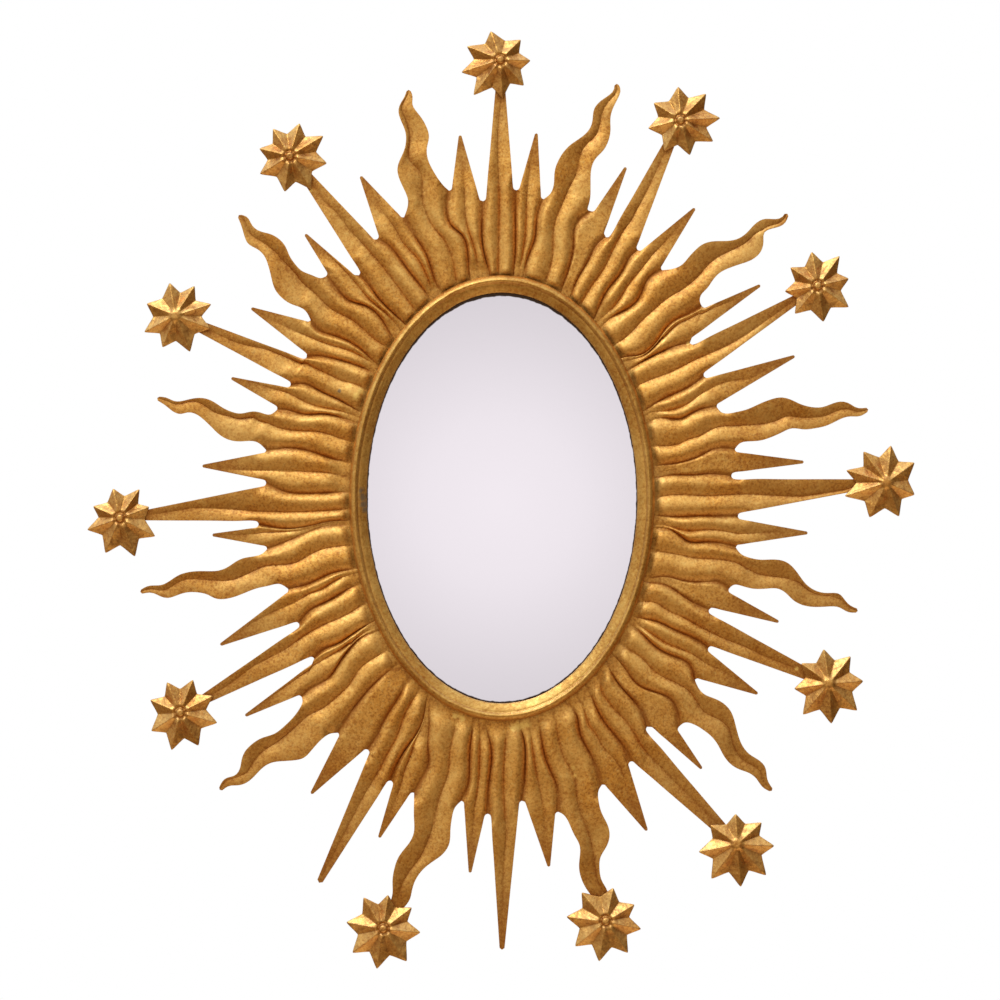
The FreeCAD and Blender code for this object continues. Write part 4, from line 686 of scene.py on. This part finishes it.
def ray_kind(index):
    return ("long", "short", "flame", "short")[index % rays_per_panel]


def unit(vector):
    return vector/np.linalg.norm(vector)


def valley_line(index):
    points = [place(point) for point in valley_pixels[index % ray_count]]
    points.insert(0, on_oval(points[0], hoop_reach))
    return stations(points, base_shares)


def notch(index):
    return place(valley_pixels[index % ray_count][-1])


def ray_end(index):
    return place(ray_end_pixels[index % ray_count])


def free_edge(index, side):
    """Edge of a ray's free part from its notch to its end; side -1 is anticlockwise."""
    start = notch(index if side < 0 else index + 1)
    if ray_kind(index) == "flame":
        points = [start] + [place(p) for p in flame_edge_pixels[index][0 if side < 0 else 1]]
        if index not in starred_rays:
            left, right = [place(edge[-1]) for edge in flame_edge_pixels[index]]
            axis = unit(ray_end(index) - (left + right)/2)
            aside = np.array([axis[1], -axis[0]])*side
            points.append(ray_end(index) + (aside - axis*tip_corner_share)*flame_tip_half_width)
        return stations(points, free_shares)
    neighbour = ray_end(index - 1 if side < 0 else index + 1)
    end = ray_end(index)
    outward = unit(unit(end - start) + unit(neighbour - start))
    aside = np.array([outward[1], -outward[0]])*(-side)
    axis = unit(end - (notch(index) + notch(index + 1))/2)
    half_width = long_ray_end_width_pixels.get(index, 0)*pixel/2 or short_end_half_width
    corner = (end - axis*half_width*tip_corner_share
              + np.array([axis[1], -axis[0]])*side*half_width)
    quarter = math.sqrt(0.5)
    points = [start, start + outward*notch_radius*(1 - quarter) + aside*notch_radius*quarter]
    leave = start + (outward + aside)*notch_radius
    for share in (0.0, 0.1, 0.3, 0.5, 0.7, 0.85, 1.0):
        points.append(leave + (corner - leave)*share)
    return stations(points, free_shares)


def ray_relief(width, greatest=1.0):
    return np.minimum(rib_height*greatest, width/2*steepest_share)


# How finely a groove is followed, how near a ray's edge it may run, where it counts as ended,
# and where a ray is slender
groove_steps = 160
groove_margin_share = 0.2
least_width = 0.00001
groove_end_gap = 0.0015
groove_fade_reach = 0.04
slender_width = 0.006

# Where the ribs start beyond the bezel and how long they take to rise: more at the sides and
# at the bottom, more on short rays
start_before = 0.002
start_aside = 0.003
start_low = 0.006
start_length = 0.005
length_aside = 0.0025
length_low = 0.012
length_by_chance = 0.002
short_start = 0.006
short_length = 0.010
start_share = 0.12


def groove_shares(index, lefts, rights):
    """Where the ray's groove crosses each row, as a share of the row from left to right."""
    if index not in groove_pixels:
        return np.full(len(lefts), 0.5)
    points = [place(point) for point in groove_pixels[index]]
    line = stations(points, even_shares(groove_steps))
    shares, reached = [], []
    for left, right in zip(lefts, rights):
        across = right - left
        width = max(np.linalg.norm(across), least_width)
        ahead = ((line - left) @ np.array([-across[1], across[0]]))/width
        crossing = np.argmin(np.abs(ahead))
        shares.append(np.clip((line[crossing] - left) @ across/width**2,
                              groove_margin_share, 1.0 - groove_margin_share))
        reached.append(abs(ahead[crossing]) < groove_end_gap)
    shares = np.array(shares)
    first, last = reached.index(True), len(reached) - 1 - reached[::-1].index(True)
    shares[:first] = shares[first]
    halfway = (lefts + rights)/2
    beyond = np.linalg.norm(halfway - halfway[last], axis=1)*(np.arange(len(shares)) > last)
    fade = smooth(beyond/groove_fade_reach)
    shares[last:] = shares[last]
    shares = shares*(1.0 - fade) + 0.5*fade
    slender = smooth(1.5 - np.linalg.norm(rights - lefts, axis=1)/slender_width)
    return shares*(1.0 - slender) + 0.5*slender


def bead_start(index, side, line):
    """Height shares of a ray's ribs along the base, where they end round before the bezel."""
    beyond = np.linalg.norm(line - line[0], axis=1) - (bezel_width - hoop_reach)
    chance = hand.noise(Vector((index*1.7, side*2.3, 4.1)))
    toward = unit(line[0])
    aside = abs(toward[0])
    low = max(-toward[1], 0.0)**4
    start = -start_before + start_aside*aside + start_low*low
    length = start_length + length_aside*aside + length_low*low + length_by_chance*chance
    if ray_kind(index) == "short":
        start += short_start*(1.0 + chance)
        length += short_length
    return start_share + (1.0 - start_share)*smooth((beyond - start)/length)


def unfolded(edge, left, right):
    """An edge of the free part, kept in front of the row from notch to notch."""
    row = unit(right - left)
    outward = np.array([-row[1], row[0]])
    behind = np.minimum((edge - left) @ outward, 0.0)
    return edge - behind[:, None]*outward


def ray_edges(index):
    """Left and right edge of a ray, each from the bezel past its notch to the ray's end."""
    valleys = valley_line(index), valley_line(index + 1)
    edges = []
    for side, valley in zip((-1, 1), valleys):
        free = unfolded(free_edge(index, side), valleys[0][-1], valleys[1][-1])
        edges.append(np.concatenate([valley, free[1:]]))
    return edges


def pinch(index, widths):
    """1 in the rows where the ray's base is pinched, else 0."""
    span = wide_pinch_span if index in wide_pinch_rays else pinch_span
    pinched = 1.0 - smooth((widths - pinch_start)/span)
    pinched[base_rows:] = 0.0
    return pinched


def relief_along(index, widths, pinched, starts):
    """Height of a ray's ribs at each row, from the bezel to the ray's end."""
    kind = ray_kind(index)
    lowered = level_rise_share if index in level_rays else 1.0
    base_relief = ray_relief(widths[:base_rows])*(1.0 - pinch_fall_share*pinched[:base_rows])
    base_relief = base_relief*starts*lowered
    if kind == "short":
        fall = smooth((base_shares - short_fall_start_share)/(1.0 - short_fall_start_share))
        base_relief = base_relief*(1.0 - short_fall_share*fall)
        lowered = lowered*(1.0 - short_fall_share)
    along = free_shares[1:]
    greatest = flame_rise_share if kind == "flame" else 1.0
    free_relief = ray_relief(widths[base_rows:], greatest)*(1.0 - end_fall_share*along)*lowered
    blend = smooth(along/notch_blend_share)
    free_relief = base_relief[-1]*(1.0 - blend) + free_relief*blend
    if index not in full_height_rays:
        fall_share = free_fall_shares[kind]
        free_relief = free_relief*(1.0 - fall_share*smooth(along/free_fall_reach_share))
    if index in starred_rays:
        flat = smooth((along - star_flat_start_share)/star_flat_reach_share)
        free_relief = free_relief*(1.0 - flat)
    return np.concatenate([base_relief, free_relief])


def cut_along(outer, inner):
    """How far up a rib the edge starts at each row, as the free part is cut out of the ribs."""
    widths = np.linalg.norm(outer - inner, axis=1)
    cut = 1.0 - widths/max(widths[base_rows - 1], least_width)
    cut[:base_rows] = 0.0
    cut = np.maximum.accumulate(np.maximum(cut, 0.0))
    run = np.linalg.norm(inner - inner[base_rows - 1], axis=1)
    run[:base_rows] = 0.0
    return np.minimum(np.maximum(cut, crest_share*smooth(run/channel_reach)), crest_share)


def half_ray(index, side):
    """Grid of points of one half of a ray, with a crest value for the finish at each."""
    lefts, rights = ray_edges(index)
    outer = lefts if side < 0 else rights
    inner = lefts + (rights - lefts)*groove_shares(index, lefts, rights)[:, None]
    inner[0] = on_oval(inner[0], hoop_reach)
    inner[-1] = ray_end(index)
    widths = np.linalg.norm(rights - lefts, axis=1)
    pinched = pinch(index, widths)
    relief = relief_along(index, widths, pinched, bead_start(index, side, inner[:base_rows]))
    cut = cut_along(outer, inner)
    level = index in level_rays
    # The finish grows darker along the free part toward the ray's end
    wear = free_darkening_shares[ray_kind(index)]
    undarkened = np.concatenate([np.ones(base_rows), 1.0 - wear*smooth(free_shares[1:])])
    grid = np.zeros((len(outer), strip_columns, 3))
    crest = np.zeros((len(outer), strip_columns))
    for row in range(len(outer)):
        sway = sway_share*hand.noise(Vector((inner[row, 0]*sway_scale, index*2.9 + side*5.3,
                                             inner[row, 1]*sway_scale)))
        flat = 1.0 - smooth(relief[row]/(flat_height_share*rib_height))
        across = cut[row] + (1.0 - cut[row])*strip_shares
        opened = smooth((row/(base_rows - 1.0) - notch_power_start_share)
                        / (1.0 - notch_power_start_share))
        outer_power = crease_power + (notch_power - crease_power)*opened
        profile = rib(np.clip(across + sway*np.sin(math.pi*strip_shares), 0.0, 1.0), outer_power,
                      0.0 if level else groove_drop_share)
        for column in range(strip_columns):
            point = outer[row] + (inner[row] - outer[row])*strip_shares[column]
            if row == 0:
                point = on_oval(point, hoop_reach)
            wave = hand.noise(Vector((point[0]*wave_scale, index*3.7, point[1]*wave_scale)))
            rise = relief[row]*profile[column]*(1.0 + wave_share*wave) + wave_height*wave
            grid[row, column] = (point[0], valley_y - rise, point[1])
            shown = profile[column]*level_crest_share if level else profile[column]
            shown = shown*(1.0 - pinched[row]) + flat_crest_share*pinched[row]
            crest[row, column] = (shown*(1.0 - flat) + flat_crest_share*flat)*undarkened[row]
    return grid, crest


def add_piece(name, vertices, faces, material, crests=None):
    """A mesh on the mirror's body, smooth except at its sharp edges."""
    mesh = bpy.data.meshes.new(name)
    mesh.from_pydata(vertices, [], faces)
    mesh.validate()
    if crests:
        mesh.attributes.new("crest", "FLOAT", "POINT").data.foreach_set("value", crests)
    mesh.polygons.foreach_set("use_smooth", [True]*len(mesh.polygons))
    mesh.materials.append(material)
    item = bpy.data.objects.new(name, mesh)
    scene.collection.objects.link(item)
    mesh.set_sharp_from_angle(angle=sharp_angle)
    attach(item, "mirror")
    return item


def sheet_mesh(name, grids, thickness, material):
    """A closed sheet of the given grids, their shared points joined, thickened backward."""
    vertices, crests, faces, known = [], [], [], {}
    for grid, crest in grids:
        numbers = np.zeros(crest.shape, dtype=int)
        for spot, value in np.ndenumerate(crest):
            point = grid[spot]
            key = (round(point[0]/join_distance), round(point[2]/join_distance))
            if key not in known:
                known[key] = len(vertices)
                vertices.append(tuple(point))
                crests.append(value)
            numbers[spot] = known[key]
        for row in range(crest.shape[0] - 1):
            for column in range(crest.shape[1] - 1):
                corners = [numbers[row, column], numbers[row + 1, column],
                           numbers[row + 1, column + 1], numbers[row, column + 1]]
                face = [corner for turn, corner in enumerate(corners)
                        if corner not in corners[:turn]]
                if len(face) > 2:
                    a, b, c = (np.array(vertices[corner]) for corner in face[:3])
                    if np.cross(b - a, c - a)[1] > 0:
                        face.reverse()
                    faces.append(face)
    count = len(vertices)
    edges = dict.fromkeys(pair for face in faces for pair in zip(face, face[1:] + face[:1]))
    back = [[corner + count for corner in reversed(face)] for face in faces]
    rim = [[second, first, first + count, second + count] for first, second in edges
           if (second, first) not in edges]
    vertices += [(x, y + thickness, z) for x, y, z in vertices]
    return add_piece(name, vertices, faces + back + rim, material, crests + crests)


def build_panels():
    for number in range(ray_count//rays_per_panel):
        rays = range(number*rays_per_panel, (number + 1)*rays_per_panel)
        grids = [half_ray(index, side) for index in rays for side in (-1, 1)]
        item = sheet_mesh("rays_%02d" % (number + 1), grids, sheet_thickness, gold_rays)
        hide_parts("ray_panel_%02d" % (number + 1))


build_panels()

# Section of the bezel from the glass outward: shares of its width and of its depth
bezel_section_shares = [(0.0, 0.40), (0.03, 0.455), (0.12, 0.53), (0.22, 0.605), (0.32, 0.67),
                        (0.40, 0.712), (0.45, 0.728), (0.49, 0.738), (0.525, 0.785),
                        (0.56, 0.865), (0.60, 0.935), (0.645, 0.983), (0.69, 1.0), (0.75, 0.98),
                        (0.81, 0.94), (0.87, 0.88), (0.93, 0.80), (0.97, 0.72), (1.0, 0.64)]
bezel_stations = 720
bezel_columns = 60

# Unevenness of the bezel: of its face in two sizes, and of its width all but at its rim
face_wave_scale = 9.0
section_wave_scale = 90.0
coarse_wave = 0.0003
fine_wave = 0.0002
width_wave_scale = 14.0
width_wave = 0.0003
even_rim_columns = 12


def bezel():
    """The bezel in one sweep, a little uneven as cast by hand."""
    shares = np.array(bezel_section_shares)
    front = np.column_stack([shares[:, 0]*bezel_width,
                             glass_y + shares[:, 1]*(bezel_crest_y - glass_y)])
    front = stations(front, even_shares(bezel_columns))
    section = np.concatenate([[(0.0, glass_y)], front,
                              [(bezel_width, bezel_seat_y), (glass_overlap, bezel_seat_y),
                               (glass_overlap, glass_y)]])
    vertices, faces = [], []
    count = len(section)
    for station in range(bezel_stations):
        turn = 2*math.pi*station/bezel_stations
        toward = Vector((math.cos(turn), 0.0, math.sin(turn)))
        for number, (reach, y) in enumerate(section):
            if 0 < number <= bezel_columns:
                spot = toward*face_wave_scale + Vector((reach*section_wave_scale, 3.3, 0.0))
                y += coarse_wave*hand.noise(spot) + fine_wave*hand.noise(spot*3.1)
            if number < bezel_columns - even_rim_columns:
                reach += width_wave*hand.noise(toward*width_wave_scale)
            vertices.append(((opening[0] + reach)*toward[0], y, (opening[1] + reach)*toward[2]))
            here, following = station*count, (station + 1) % bezel_stations*count
            beside = (number + 1) % count
            faces.append((here + number, here + beside, following + beside, following + number))
    item = add_piece("bezel", vertices, faces, gold_bezel)
    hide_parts("bezel_ring")


bezel()


def area_light(name, location, size, power, colour):
    """A square light that faces the middle of the mirror."""
    data = bpy.data.lights.new(name, "AREA")
    data.size = size
    data.energy = power
    data.color = colour
    item = bpy.data.objects.new(name, data)
    item.location = location
    scene.collection.objects.link(item)
    item.rotation_euler = (-item.location).to_track_quat("-Z", "Y").to_euler()


area_light("key", location=(-0.8, -1.2, 1.8), size=1.1, power=22.0, colour=(0.70, 0.92, 1.25))
area_light("back", location=(0.6, 2.4, 1.6), size=1.6, power=22.0, colour=grey(1.0))


def background(tree, strength):
    node = tree.nodes.new("ShaderNodeBackground")
    node.inputs["Strength"].default_value = strength
    return node


def as_share(tree, value):
    """A value from -1 to 1 as a share from 0 to 1."""
    return math_node(tree, "MULTIPLY_ADD", value, 0.5, 0.5)


def room_colour(tree):
    """The room around the mirror: bright above, dark below, with a paper floor at the bottom."""
    direction = coordinate(tree, "Generated")
    height = as_share(tree, vector_node(tree, "DOT_PRODUCT", direction, (-0.25, 0.0, 0.968)))
    room = ramp(tree, height, [(0.0, (0.78, 0.70, 0.60)), (0.07, (0.56, 0.48, 0.38)),
                               (0.19, (0.16, 0.115, 0.07)), (0.36, (0.26, 0.21, 0.155)),
                               (0.46, (0.42, 0.375, 0.32)), (0.56, (0.52, 0.50, 0.465)),
                               (0.72, (0.66, 0.72, 0.83)), (0.88, (0.80, 0.95, 1.28)),
                               (1.0, (1.02, 1.26, 1.85))])

    # The room is darker toward its sides, more so on the right
    sides = ramp(tree, as_share(tree, part_of(tree, direction, "X")),
                 [(0.0, grey(0.70)), (0.28, grey(1.0)), (0.66, grey(1.0)), (1.0, grey(0.38))])
    room = mix(tree, 1.0, room, sides, "MULTIPLY")

    # A soft round screen stands in front of the mirror, brightest in the middle
    spread = vector_node(tree, "LENGTH",
                         vector_node(tree, "MULTIPLY", direction, (1.0, 0.0, 1.0)))
    screen = ramp(tree, spread, [(0.0, (0.682, 0.640, 0.668)), (0.025, (0.655, 0.615, 0.642)),
                                 (0.055, (0.555, 0.520, 0.543)), (0.075, (0.500, 0.468, 0.490)),
                                 (0.12, (0.455, 0.41, 0.365))])
    facing = ramp(tree, spread, [(0.08, grey(1.0)), (0.26, grey(0.0))])
    return mix(tree, facing, room, screen)


def studio():
    """White paper behind the mirror for the camera, and a softly lit room for all else."""
    world = bpy.data.worlds.new("studio")
    scene.world = world
    world.use_nodes = True
    tree = world.node_tree
    tree.nodes.clear()
    room = background(tree, strength=1.4)
    link(tree, room_colour(tree), room.inputs["Color"])
    paper = background(tree, strength=1.0)
    paper.inputs["Color"].default_value = (1.0, 1.0, 1.0, 1.0)
    path = tree.nodes.new("ShaderNodeLightPath")
    choice = tree.nodes.new("ShaderNodeMixShader")
    link(tree, path.outputs["Is Camera Ray"], choice.inputs["Fac"])
    link(tree, room.outputs["Background"], choice.inputs[1])
    link(tree, paper.outputs["Background"], choice.inputs[2])
    output = tree.nodes.new("ShaderNodeOutputWorld")
    link(tree, choice.outputs["Shader"], output.inputs["Surface"])


studio()
scene.view_settings.view_transform = "Standard"

camera_data = bpy.data.cameras.new("camera")
camera_data.sensor_width = 36.0
camera_data.sensor_fit = "HORIZONTAL"
camera_data.lens = camera_data.sensor_width*camera_distance/photo_span
camera = bpy.data.objects.new("camera", camera_data)
camera.location = photo_middle + Vector((0.0, relief_y - camera_distance, 0.0))
camera.rotation_euler = (math.radians(90.0), 0.0, 0.0)
scene.collection.objects.link(camera)
scene.camera = camera
